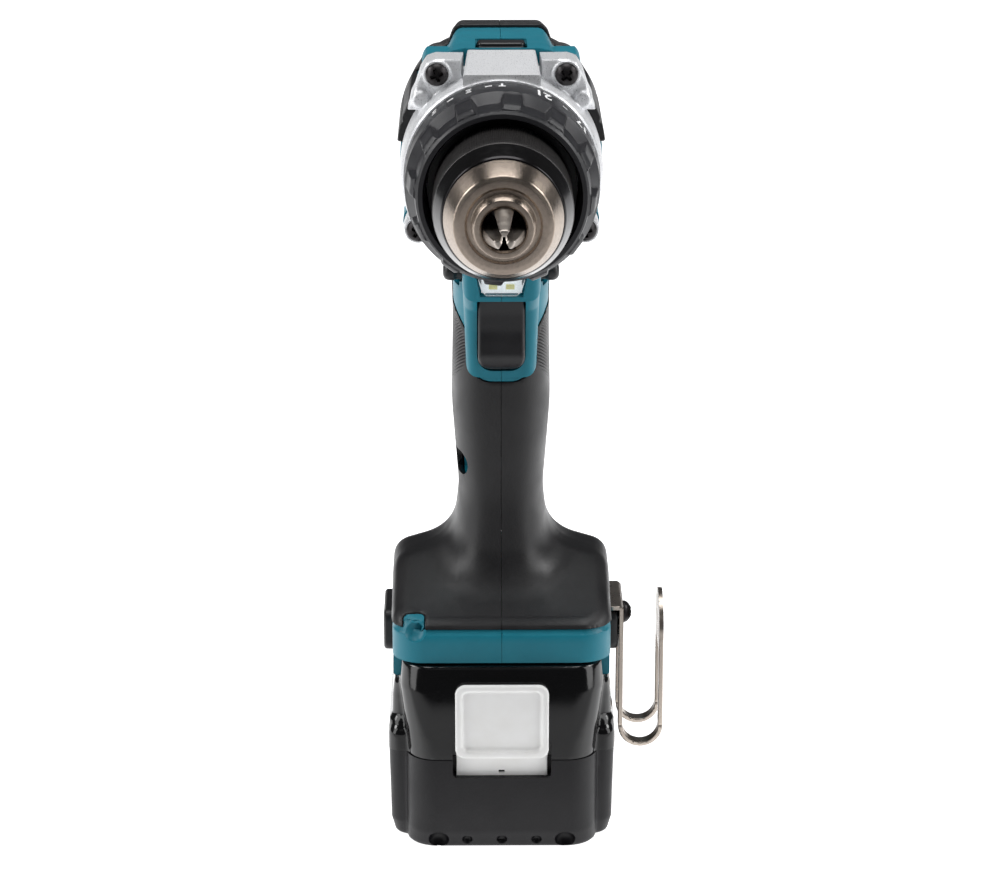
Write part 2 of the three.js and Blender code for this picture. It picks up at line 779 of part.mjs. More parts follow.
// The rear bumper and the strips along the head's sides.
function bumperZone(grow) {
  const z = (height) => AXIS_HEIGHT + height;
  const rear = box(-60, 60, 20 - grow, 80, z(4 - grow), z(50));
  const strip = (side) =>
    box(
      side > 0 ? 24 - grow : -60,
      side > 0 ? 60 : -24 + grow,
      -29.5 - grow,
      21,
      z(6.5 - grow),
      z(19.5 + grow),
    );
  return join(rear, strip(1), strip(-1));
}

function lowerBody(inset) {
  return join(handle(inset), foot(inset));
}

// Cross walls that hold the rotor's bearings, as [y0, y1, half width].
const BEARING_WALLS = [
  [-7.2, -3, 29.6],
  [43, 47, 26.6],
];

// Housing screws, as [y, z, half width of the body there, depth of the head's recess].
const housingScrews = [
  [-13, 118, 14.4, 5],
  [4, 191, 17, 4.5],
  [52, 203, 22, 4.5],
  [42.4, 63.8, FOOT_HALF_WIDTH - 2.2, 6],
];

// A half of the body keeps the material on its own side of the middle plane.
function half(body, side) {
  const keep = side > 0 ? box(GAP / 2, 60, -90, 90, 0, 300) : box(-60, -GAP / 2, -90, 90, 0, 300);
  return body.intersect(keep);
}

// A bar of the same section on each side of the middle plane.
function pair(x0, x1, y0, y1, z0, z1) {
  return join(box(x0, x1, y0, y1, z0, z1), box(-x1, -x0, y0, y1, z0, z1));
}

// Side walls and rails that hold the battery, and the stop behind it.
function footRails() {
  const tongue = BOSS_HALF_LENGTH + 1 + GAP;
  const skirt = join(pair(28.6, 36, -38, 48, 50, 60), box(-36, 36, 47.6, FOOT_REAR_Y, 50, 60));
  const underRubber = pair(SKIRT_HALF_WIDTH, 40, BOSS_Y - tongue, BOSS_Y + tongue, 45, FOOT_BOTTOM + 5);
  return join(cut(skirt, underRubber), pair(26.7, 29, -38, 46, 53.4, 55.2));
}

function housing() {
  const bareLower = cut(lowerBody(0), gripZone(GAP));
  const lugs = lugPositions().map(([x, z]) =>
    rod(LUG_RADIUS, [x, HEAD_FRONT_Y, AXIS_HEIGHT + z], [x, -16, AXIS_HEIGHT + z], 12));
  const lower = join(bareLower, lowerBody(RUBBER + GAP), footRails());
  const outside = join(head(0), hump(0), chin(), lower, ...lugs);
  const bumperRecess = cut(bumperZone(GAP), join(head(1.1), hump(1.1)));
  const motorRoom = join(head(HEAD_WALL), hump(HEAD_WALL + 0.6));
  const handleRoom = handle(RUBBER + GAP + SHELL_WALL);
  const footRoom = join(
    cut(foot(RUBBER + GAP + SHELL_WALL), box(-60, 60, -60, 60, 0, FOOT_BOTTOM + 0.05)),
    box(-28.6, 28.6, FOOT_FRONT_Y + 2.3, 47.6, 58.35, 62),
  );
  const bearingWalls = BEARING_WALLS.map(([y0, y1, reach]) =>
    cut(
      box(-reach, reach, y0, y1, AXIS_HEIGHT - 11, AXIS_HEIGHT + 11),
      rod(6.8, [0, y0 - 1, AXIS_HEIGHT], [0, y1 + 1, AXIS_HEIGHT], 16),
    ),
  );
  const screwPosts = housingScrews.map(([y, z, reach]) => {
    const inner = reach - 4;
    return rod(4.6, [-inner, y, z], [inner, y, z], 8);
  });
  const hollow = cut(outside, motorRoom, handleRoom, footRoom, bumperRecess);
  const filled = join(hollow, ...bearingWalls, ...screwPosts);
  const vents = Array.from({ length: 3 }, (_, i) => {
    const y = 28 + 4.8 * i;
    return pair(24, 40, y, y + 2.2, AXIS_HEIGHT - 14, AXIS_HEIGHT);
  });
  const lamp = join(box(-8, 8, -50, -39.6, 180.9, 187.6), box(-7, 7, -43, -25, 181.5, 186.5));
  const leverSlot = box(-40, 40, -24.3, -15.7, LEVER_LOW - 0.4, LEVER_HIGH + 0.4);
  const triggerReach = TRIGGER_HALF_WIDTH + GAP;
  const triggerSlot = box(-triggerReach, triggerReach, -50, -12, TRIGGER_BOTTOM - GAP, TRIGGER_TOP + GAP);
  const speedSlot = box(-8.1, 8.1, -28.6, -8.4, AXIS_HEIGHT + 18, AXIS_HEIGHT + 48);
  const lugHoles = lugPositions().map(([x, z]) =>
    rod(2.6, [x, -45, AXIS_HEIGHT + z], [x, -22.5, AXIS_HEIGHT + z], 8));
  return cut(
    filled,
    ...vents,
    lamp,
    leverSlot,
    triggerSlot,
    speedSlot,
    ...housingScrews.map(([y, z]) => rod(2.3, [-60, y, z], [11, y, z], 8)),
    ...housingScrews.map(([y, z, reach, depth]) => rod(4.1, [-60, y, z], [-reach + depth, y, z], 8)),
    ...lugHoles,
    ...bossHoles(),
  );
}

function bossHoles() {
  return [-1, 1].map((side) => rod(2.3, [side * 31, BOSS_Y, BOSS_Z], [side * 50, BOSS_Y, BOSS_Z], 14));
}

function grips() {
  const covered = join(lowerBody(0).intersect(gripZone(0)), bosses());
  return cut(
    covered,
    lowerBody(RUBBER),
    head(-GAP),
    box(-13, 13, -60, -24 - GAP, 146.5, 200),
    ...housingScrews.map(([y, z]) => rod(4.1, [-60, y, z], [-5, y, z], 8)),
    ...bossHoles(),
  );
}

function bumpers() {
  return cut(join(head(-1.2), hump(-1.2)).intersect(bumperZone(0)), join(head(0.8), hump(0.8)));
}

const wholeHousing = housing();
const wholeGrip = grips();
const wholeBumper = bumpers();
for (const [name, side] of [["left", 1], ["right", -1]]) {
  place(`housing_${name}`, half(wholeHousing, side), "teal");
  place(`grip_${name}`, half(wholeGrip, side), "rubber");
  place(`bumper_${name}`, half(wholeBumper, side), "rubber");
}

housingScrews.forEach(([y, z, reach, depth], i) => {
  const screw = place(`housing_screw_${i + 1}`, panScrew(3.4, 2.2, 1.8, reach - depth + 7), "blackSteel");
  screw.position.set(-reach + depth - GAP, y, z);
  screw.rotation.z = -Math.PI / 2;
});

// ---- controls, lamp and electronics ----

function trigger() {
  const side = new THREE.Shape();
  side.moveTo(-18, TRIGGER_BOTTOM + 0.5);
  side.lineTo(-27, TRIGGER_BOTTOM);
  side.quadraticCurveTo(-34.4, TRIGGER_BOTTOM + 1, -34.2, TRIGGER_BOTTOM + 6);
  side.quadraticCurveTo(-31.6, TRIGGER_BOTTOM + 15, -33.4, TRIGGER_TOP);
  side.lineTo(-18, TRIGGER_TOP);
  return alongX(side, -TRIGGER_HALF_WIDTH, TRIGGER_HALF_WIDTH, 6);
}

place("trigger", trigger(), "charcoalPlastic");
place("switch_body", box(-8.8, 8.8, -10.4, 3, 153, 176), "blackPlastic");

const leverOutline = roundedRectangle(-23.9, -16.1, LEVER_LOW, LEVER_HIGH, 2.8);
place("direction_lever", alongX(leverOutline, -19, 19, 4), "blackPlastic");

const lensOutline = shapeOf([[-6.4, 181.2], [6.4, 181.2], [7.7, 187.2], [-7.7, 187.2]]);
place("lamp_lens", alongY(lensOutline, -43.2, -41.6), "clearLens");
place("lamp_board", box(-6.6, 6.6, -41, -39.9, 181.8, 186.2), "ledBoard");

place("controller", box(-22, 22, -26, 16, 63.5, 71.5), "circuitBoard");
place("tool_terminal", toolTerminal(), "brass");

function toolTerminal() {
  const blade = (x) => box(x - 0.6, x + 0.6, 27, 36, 52.2, 63);
  return join(box(-16, 16, 20, 37, 62.6, 66), blade(-12), blade(12));
}

// ---- belt hook ----

const HOOK_GAUGE = 1.5;

// A strip bent to a U that hooks over the boss, with a long window that leaves two straps.
function beltHook() {
  const inner = BOSS_FACE_X + GAP + HOOK_GAUGE; // outer face of the leg on the boss
  const outer = 53.4;
  const middle = (inner + outer) / 2;
  const bend = (outer - inner) / 2;
  const low = 16.3 + bend + HOOK_GAUGE;
  const flange = BOSS_TOP + GAP;
  const tip = 68.5;
  const profile = new THREE.Shape();
  profile.moveTo(FOOT_HALF_WIDTH + 2 * GAP, flange);
  profile.lineTo(inner - HOOK_GAUGE, flange);
  profile.lineTo(inner - HOOK_GAUGE, low);
  profile.absarc(middle, low, bend + HOOK_GAUGE, Math.PI, 2 * Math.PI, false);
  profile.lineTo(outer + HOOK_GAUGE, tip);
  profile.lineTo(outer, tip);
  profile.lineTo(outer, low);
  profile.absarc(middle, low, bend, 2 * Math.PI, Math.PI, true);
  profile.lineTo(inner, flange + 0.5);
  profile.lineTo(inner - 1, flange + HOOK_GAUGE);
  profile.lineTo(FOOT_HALF_WIDTH + 2 * GAP, flange + HOOK_GAUGE);
  const front = BOSS_Y - BOSS_HALF_LENGTH;
  const back = BOSS_Y + BOSS_HALF_LENGTH;
  const strip = alongY(profile, front, back, 8);
  const window = box(30, 60, front + 5, back - 5, 10, 50);
  const hole = rod(2.3, [30, BOSS_Y, BOSS_Z], [48, BOSS_Y, BOSS_Z], 14);
  const tipCorners = alongX(shapeOf([[front - 1, 62], [front + 7, tip + 1], [front - 1, tip + 1]]), 50, 60);
  const tipCorner = alongX(shapeOf([[back + 1, 62], [back + 1, tip + 1], [back - 7, tip + 1]]), 50, 60);
  return cut(strip, window, hole, tipCorners, tipCorner);
}

place("belt_hook", beltHook(), "nickel");

const hookScrew = place("hook_screw", panScrew(4.2, 3, 2, 9), "blackSteel");
hookScrew.position.set(BOSS_FACE_X + 2 * GAP + HOOK_GAUGE, BOSS_Y, BOSS_Z);
hookScrew.rotation.z = Math.PI / 2;

// ---- battery ----

function batteryPlan(inset) {
  const x = BATTERY_HALF_WIDTH - inset;
  const y = BATTERY_HALF_LENGTH - inset;
  return roundedRectangle(-x, x, -y, y, 9 - inset * 0.5).getPoints(4).slice(0, -1);
}

function batteryRing(inset, z) {
  return batteryPlan(inset).map((point) => [point.x, point.y, z]);
}

function lowerCase() {
  const outside = skin([
    batteryRing(2.6, BATTERY_BASE),
    batteryRing(1.2, BATTERY_BASE + 1.6),
    batteryRing(0.5, BATTERY_BASE + 12),
    batteryRing(0, BATTERY_PARTING),
  ]);
  const room = skin([batteryRing(3, BATTERY_BASE + 2), batteryRing(2.4, BATTERY_PARTING + 1)]);
  return cut(outside, room, buttonWindow());
}

function upperCase() {
  const shoulders = skin([
    batteryRing(0, BATTERY_PARTING + GAP),
    batteryRing(0.4, 44),
    batteryRing(2, BATTERY_SHOULDER),
  ]);
  const crown = skin([
    batteryRing(1.2, BATTERY_SHOULDER - 2),
    batteryRing(3.5, BATTERY_TOP),
  ]).intersect(box(-50, 50, -70, BLOCK_REAR_Y, 0, 80));
  const platform = box(-PLATFORM_HALF_WIDTH, PLATFORM_HALF_WIDTH, BLOCK_REAR_Y - 1, 47.2, 45, BATTERY_TOP);
  const grooves = pair(26.3, 30, BLOCK_REAR_Y, 48, 53, 55.6);
  const room = join(
    skin([batteryRing(2.4, BATTERY_PARTING - 1), batteryRing(3.4, 46)]),
    box(-24, 24, -36, 10, 40, 55.5),
  );
  const slots = [-12, 12].map((x) => box(x - 1.4, x + 1.4, 14, 50, 51.8, 60));
  const stemPocket = box(-8, 8, -60, -48, 27, 49.6);
  return cut(join(shoulders, crown, platform), room, grooves, ...slots, stemPocket, buttonWindow());
}

// The opening under the button's pad, which its lower lip slides behind.
function buttonWindow() {
  const reach = BUTTON_HALF_WIDTH + 0.2;
  return box(-reach, reach, -60, -53, BUTTON_LIP - 0.7, BUTTON_BOTTOM + 6.5);
}

function cellPack() {
  const cells = [];
  for (let row = 0; row < 5; row++) {
    for (const z of [LOWER_CELLS_Z, LOWER_CELLS_Z + CELL_PITCH]) {
      const y = (row - 2) * CELL_PITCH + 1.5;
      cells.push(rod(CELL_RADIUS, [-32.5, y, z], [32.5, y, z], 8));
    }
  }
  return join(...cells);
}

function batteryButton() {
  const middle = (BUTTON_BOTTOM + BUTTON_TOP) / 2;
  const half = (BUTTON_TOP - BUTTON_BOTTOM) / 2;
  const outline = (inset, y, rise = 0) =>
    squircle(BUTTON_HALF_WIDTH - inset, half - inset, half - inset, 7, 20)
      .map(([x, z]) => [x, y, middle + rise + z]);
  const pad = skin([outline(0, -57.8), outline(0.4, -59.8)]);
  const dish = skin([outline(3.2, -59, 0.4), outline(2.4, -60.5, 0.4)]);
  const stem = box(-7, 7, -58.2, -50, 33, 48.6);
  const neck = box(-15, 15, -58, -53.4, BUTTON_BOTTOM + 0.6, BUTTON_BOTTOM + 5);
  const lip = box(-15, 15, -54.7, -53.4, BUTTON_LIP - BUTTON_TRAVEL, BUTTON_BOTTOM + 5);
  return join(cut(pad, dish), stem, neck, lip);
}

place("battery_case_lower", lowerCase(), "batteryMatt");
place("battery_case_upper", upperCase(), "batteryGloss");
place("cell_pack", cellPack(), "cellWrap");
place("battery_terminal", box(-18, 18, 18, 34, 41, 45.6), "brass");
place("battery_button", batteryButton(), "buttonWhite");

export default drill;
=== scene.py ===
# The looks of a cordless drill: fine surfaces grown from distance fields, materials, light and camera.
# Lengths are in millimetres until a mesh is made, with -Y towards the chuck and X to the left hand.
import json
import math
from concurrent.futures import ThreadPoolExecutor

import bpy
import numpy as np
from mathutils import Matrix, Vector


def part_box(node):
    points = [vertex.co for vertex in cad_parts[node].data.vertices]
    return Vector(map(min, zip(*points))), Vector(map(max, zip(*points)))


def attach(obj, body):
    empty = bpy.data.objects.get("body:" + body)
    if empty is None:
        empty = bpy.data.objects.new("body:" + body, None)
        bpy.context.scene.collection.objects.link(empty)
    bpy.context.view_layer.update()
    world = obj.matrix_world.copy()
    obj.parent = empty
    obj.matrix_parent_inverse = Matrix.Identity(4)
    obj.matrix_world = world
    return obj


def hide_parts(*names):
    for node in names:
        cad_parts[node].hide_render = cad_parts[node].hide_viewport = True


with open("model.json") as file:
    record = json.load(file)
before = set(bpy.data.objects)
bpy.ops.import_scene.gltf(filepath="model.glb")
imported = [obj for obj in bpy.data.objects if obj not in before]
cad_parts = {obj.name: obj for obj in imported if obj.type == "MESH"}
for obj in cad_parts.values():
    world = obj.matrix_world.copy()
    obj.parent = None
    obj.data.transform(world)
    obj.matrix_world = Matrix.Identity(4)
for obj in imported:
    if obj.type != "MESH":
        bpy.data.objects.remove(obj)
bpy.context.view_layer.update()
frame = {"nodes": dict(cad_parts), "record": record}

DATUM = 5.5  # heights count from a level this far above the battery's base
COARSE = 1.0


def extent(node):
    """Lowest and highest corner of a CAD node, in millimetres from the datum."""
    return [[c * 1000 - d for c, d in zip(corner, (0, 0, DATUM))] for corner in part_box(node)]


AXIS = sum(corner[2] for corner in extent("torque_ring")) / 2
NOSE_Y = extent("chuck_body")[0][1]
REAR_Y = extent("housing_left")[1][1]
CASE_Y = -29.7  # joint between gear case and housing


# ---- distance fields: negative inside, in millimetres ----

def smooth_max(a, b, k):
    h = np.maximum(k - np.abs(a - b), 0)
    return np.maximum(a, b) + h * h / (4 * k)


def smooth_min(a, b, k):
    return -smooth_max(-a, -b, k)


def most(first, *others):
    for other in others:
        first = np.maximum(first, other)
    return first


def least(first, *others):
    for other in others:
        first = np.minimum(first, other)
    return first


def meet(a, b, r):
    """Where two fields overlap, with the edge between them rounded to r."""
    a, b = a + r, b + r
    return np.minimum(np.maximum(a, b), 0) + np.hypot(np.maximum(a, 0), np.maximum(b, 0)) - r


def slab(v, low, high):
    return np.abs(v - (low + high) / 2) - (high - low) / 2


def block(x, y, z, low, high, r=0.5):
    return meet(meet(slab(x, low[0], high[0]), slab(y, low[1], high[1]), r), slab(z, low[2], high[2]), r)


def rod(u, v, radius, at=(0, 0)):
    return np.hypot(u - at[0], v - at[1]) - radius


def rounded_rectangle(u, v, low, high, r):
    return meet(slab(u, low[0], high[0]), slab(v, low[1], high[1]), r)


def squircle(u, v, half, up, down, power):
    """An outline between an ellipse and a rectangle, reaching up and down from the middle."""
    reach = np.where(v > 0, up, down)
    q = ((np.abs(u) / half) ** power + (np.abs(v) / reach) ** power) ** (1 / power)
    return np.hypot(u, v) * (1 - 1 / np.maximum(q, 1e-6))


def outline(u, v, points):
    """Exact signed distance to a closed polygon."""
    near = np.full(np.broadcast(u, v).shape, 1e12)
    inside = np.zeros(near.shape, bool)
    for (ax, ay), (bx, by) in zip(points, points[1:] + points[:1]):
        ex, ey = bx - ax, by - ay
        t = np.clip(((u - ax) * ex + (v - ay) * ey) / (ex * ex + ey * ey), 0, 1)
        near = np.minimum(near, (u - ax - ex * t) ** 2 + (v - ay - ey * t) ** 2)
        if ey:
            inside ^= ((ay > v) != (by > v)) & (u < ex * (v - ay) / ey + ax)
    return np.where(inside, -1, 1) * np.sqrt(near)


def eased(stations, width):
    """The columns of a table of stations as functions of the first, with corners eased over a width."""
    table = np.array(stations, float)
    at = np.arange(table[0, 0] - 2 * width, table[-1, 0] + 2 * width, 0.25)
    count = max(int(width / 0.25), 1)
    columns = []
    for column in table.T[1:]:
        values = np.pad(np.interp(at, table[:, 0], column), count, mode="edge")
        for _ in range(2):
            values = np.convolve(values, np.ones(count) / count, mode="same")
        columns.append(values[count:-count])
    return lambda v: [np.interp(v, at, column) for column in columns]


# ---- meshes ----

CORNERS = np.array([[i, j, k] for i in (0, 1) for j in (0, 1) for k in (0, 1)])
EDGES = [(a, a + (4, 2, 1)[axis], axis) for axis in range(3) for a in range(8) if not CORNERS[a][axis]]


def in_parts(work, count, size):
    starts = range(0, count, size)
    with ThreadPoolExecutor(8) as pool:
        return list(pool.map(lambda s: work(slice(s, min(s + size, count))), starts))


def surface(field, low, high, cell):
    """Vertices and quads of a field's zero surface by dual contouring, which keeps edges crisp."""
    low = np.array(low, float) - 1.5 * cell
    blocks = np.ceil((np.array(high, float) + 1.5 * cell - low) / (8 * cell)).astype(int)
    grid = np.stack(np.meshgrid(*[np.arange(n) for n in blocks], indexing="ij"), -1).reshape(-1, 3)
    middle = low + (grid + 0.5) * 8 * cell
    reach = np.concatenate(in_parts(lambda s: np.abs(field(*middle[s].T)), len(middle), 4096))
    # half a block's diagonal, with a margin because some fields overstate the distance
    starts = grid[reach < 8 * cell * 0.87 * 1.7] * 8
    size = blocks * 8 + 1
    steps = np.arange(9)

    def corner_id(c):
        return (c[..., 0] * size[1] + c[..., 1]) * size[2] + c[..., 2]

    def cells_in(part):
        own = starts[part]
        x = (low[0] + cell * (own[:, 0, None] + steps))[:, :, None, None]
        y = (low[1] + cell * (own[:, 1, None] + steps))[:, None, :, None]
        z = (low[2] + cell * (own[:, 2, None] + steps))[:, None, None, :]
        shape = (len(own), 9, 9, 9)
        f = field(*[np.broadcast_to(v, shape).ravel() for v in (x, y, z)]).reshape(shape)
        inside = f < 0
        count = sum(inside[:, i:i + 8, j:j + 8, k:k + 8].astype(np.int8) for i, j, k in CORNERS)
        b, i, j, k = np.nonzero((count > 0) & (count < 8))
        values = np.stack([f[b, i + p, j + q, k + r] for p, q, r in CORNERS], -1)
        return own[b] + np.stack([i, j, k], -1), values

    found = in_parts(cells_in, len(starts), 96)
    cells = np.concatenate([c for c, _ in found])
    values = np.concatenate([v for _, v in found])
    order = np.argsort(corner_id(cells))
    cells, values = cells[order], values[order]
    ids = corner_id(cells)

    ends = np.array(EDGES)
    f0, f1 = values[:, ends[:, 0]], values[:, ends[:, 1]]
    crossed = (f0 < 0) != (f1 < 0)
    corner = cells[:, None, :] + CORNERS[ends[:, 0]][None]
    keys = (corner_id(corner) * 3 + ends[:, 2])[crossed]
    keys, first, where = np.unique(keys, return_index=True, return_inverse=True)
    start = corner[crossed][first]
    axis = np.broadcast_to(ends[:, 2], crossed.shape)[crossed][first]
    a, b = f0[crossed][first], f1[crossed][first]
    along = np.eye(3)[axis]

    def crossing(part):
        origin, step = low + start[part] * cell, along[part] * cell
        fa, fb = a[part], b[part]
        ta, tb = np.zeros(len(fa)), np.ones(len(fa))
        for _ in range(2):
            t = ta + (tb - ta) * fa / (fa - fb)
            ft = field(*(origin + step * t[:, None]).T)
            same = (ft < 0) == (fa < 0)
            ta, fa = np.where(same, t, ta), np.where(same, ft, fa)
            tb, fb = np.where(same, tb, t), np.where(same, fb, ft)
        t = ta + (tb - ta) * fa / np.where(fa == fb, 1, fa - fb)
        p = origin + step * t[:, None]
        h = 0.01
        f = field(*p.T)
        slope = np.stack([field(*(p + h * np.eye(3)[n]).T) - f for n in range(3)], -1)
        return p, slope / np.maximum(np.linalg.norm(slope, axis=1, keepdims=True), 1e-9)

    parts = in_parts(crossing, len(start), 30000)
    p, n = np.concatenate([q for q, _ in parts]), np.concatenate([q for _, q in parts])
    at = np.full(crossed.shape, -1)
    at[crossed] = where
    mask = crossed[..., None]
    points = np.where(mask, p[at], 0)
    normals = np.where(mask, n[at], 0)
    centre = points.sum(1) / crossed.sum(1)[:, None]
    square = np.einsum("cei,cej->cij", normals, normals)
    offset = np.einsum("cei,ci->ce", normals, -centre) + np.einsum("cei,cei->ce", normals, points)
    right = np.einsum("cei,ce->ci", normals, offset)
    # a weak pull to the centre settles the vertices of flat and straight stretches
    moved = np.linalg.solve(square + 0.04 * np.eye(3), right[..., None])[..., 0]
    corner_at = low + cells * cell
    vertices = np.clip(centre + moved, corner_at, corner_at + cell)

    side = np.eye(3, dtype=int)
    one, two = side[(axis + 1) % 3], side[(axis + 2) % 3]
    around = [start - one - two, start - two, start, start - one]
    wanted = np.stack([corner_id(c) for c in around], -1)
    spot = np.clip(np.searchsorted(ids, wanted), 0, len(ids) - 1)
    quads = spot[(ids[spot] == wanted).all(1)]
    outward = (a < 0)[(ids[spot] == wanted).all(1)]
    quads[~outward] = quads[~outward][:, ::-1]
    return vertices, quads


def simplified(vertices, quads, plain, size):
    """Merges the vertices that won't be seen into clusters, and drops the faces that vanish."""
    chosen = plain(*vertices.T)
    boxes = np.floor(vertices[chosen] / size).astype(int)
    _, where = np.unique(boxes, axis=0, return_inverse=True)
    where = where.ravel()
    count = np.bincount(where)
    merged = np.stack([np.bincount(where, vertices[chosen][:, i]) / count for i in range(3)], -1)
    kept = ~chosen
    index = np.empty(len(vertices), int)
    index[kept] = np.arange(kept.sum())
    index[chosen] = kept.sum() + where
    faces = index[quads]
    twice = (faces[:, 0] == faces[:, 2]) | (faces[:, 1] == faces[:, 3])
    doubles = (faces == np.roll(faces, -1, 1)).sum(1)
    whole = faces[(doubles == 0) & ~twice]
    corner = faces[(doubles == 1) & ~twice]
    drop = np.argmax(corner == np.roll(corner, -1, 1), axis=1)
    keep = np.arange(4)[None] != drop[:, None]
    triangles = corner[keep].reshape(-1, 3)
    return np.concatenate([vertices[kept], merged]), whole, triangles


def mesh_of(name, vertices, quads, triangles=None, sharp=35):
    """A smooth-shaded mesh in metres from vertices in millimetres."""
    mesh = bpy.data.meshes.new(name)
    co = (np.asarray(vertices, float) + (0, 0, DATUM)) / 1000
    loops = [np.asarray(quads, np.int32).ravel()]
    lengths = [np.full(len(quads), 4)]
    if triangles is not None and len(triangles):
        loops.append(np.asarray(triangles, np.int32).ravel())
        lengths.append(np.full(len(triangles), 3))
    loops, lengths = np.concatenate(loops), np.concatenate(lengths)
    mesh.vertices.add(len(co))
    mesh.vertices.foreach_set("co", co.astype(np.float32).ravel())
    mesh.loops.add(len(loops))
    mesh.loops.foreach_set("vertex_index", loops.astype(np.int32))
    mesh.polygons.add(len(lengths))
    mesh.polygons.foreach_set("loop_start", (np.cumsum(lengths) - lengths).astype(np.int32))
    mesh.update(calc_edges=True)
    mesh.validate()
    mesh.polygons.foreach_set("use_smooth", np.ones(len(mesh.polygons), bool))
    mesh.set_sharp_from_angle(angle=math.radians(sharp))
    return mesh


def add(name, mesh, material, body, *stands_for, slot=None):
    obj = bpy.data.objects.new(name, mesh)
    bpy.context.scene.collection.objects.link(obj)
    if not mesh.materials:
        mesh.materials.append(material)
    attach(obj, body)
    if stands_for:
        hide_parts(*stands_for)
    return obj


CLUSTER = 2.8  # size of the clusters in walls that won't be seen


def grow(name, field, low, high, cell, material, body, *stands_for, slot=None, plain=None, sharp=35):
    """A piece from a distance field, inside the box from low to high."""
    vertices, quads = surface(field, low, high, cell * COARSE)
    triangles = None
    if plain is not None:
        vertices, quads, triangles = simplified(vertices, quads, plain, CLUSTER)
    mesh = mesh_of(name, vertices, quads, triangles, sharp)
    return add(name, mesh, material, body, *stands_for, slot=slot)


def grow_over(node, name, field, cell, finish, body, slot, **more):
    """A piece that takes a CAD node's place, inside its box."""
    low, high = extent(node)
    return grow(name, field, low, high, cell, finish.material, body, node, slot=slot, **more)


def lathe(profile, segments, ripple=None):
    """A mesh turned about the drill's axis from a closed list of (radius, y) points."""
    profile = np.array(profile, float)
    angle = np.arange(segments) * 2 * math.pi / segments
    count = len(profile)
    radius = np.repeat(profile[None, :, 0], segments, 0)
    if ripple is not None:
        radius = ripple(radius, angle[:, None])
    y = np.repeat(profile[None, :, 1], segments, 0)
    vertices = np.stack([radius * np.sin(angle)[:, None], y, AXIS + radius * np.cos(angle)[:, None]], -1)
    i, j = np.meshgrid(np.arange(segments), np.arange(count), indexing="ij")
    ahead, beside = (i + 1) % segments, (j + 1) % count
    quads = np.stack([i * count + j, i * count + beside, ahead * count + beside, ahead * count + j], -1)
    quads = quads.reshape(-1, 4)
    r, along = profile.T
    area = 0.5 * np.sum(r * np.roll(along, -1) - np.roll(r, -1) * along)
    return vertices.reshape(-1, 3), quads if area < 0 else quads[:, ::-1]


def bevelled(profile, r, steps=3):
    """A closed profile with its corners cut to small arcs."""
    points = np.array(profile, float)
    result = []
    for i, point in enumerate(points):
        before, after = points[i - 1] - point, points[(i + 1) % len(points)] - point
        reach = min(r, np.linalg.norm(before) * 0.4, np.linalg.norm(after) * 0.4)
        a = point + before / np.linalg.norm(before) * reach
        b = point + after / np.linalg.norm(after) * reach
        for s in range(steps + 1):
            t = s / steps
            result.append(a * (1 - t) ** 2 + 2 * point * t * (1 - t) + b * t * t)
    return result


# ---- materials ----

def linear(*rgb):
    return tuple((c / 255 / 12.92 if c <= 10 else ((c / 255 + 0.055) / 1.055) ** 2.4) for c in rgb) + (1,)


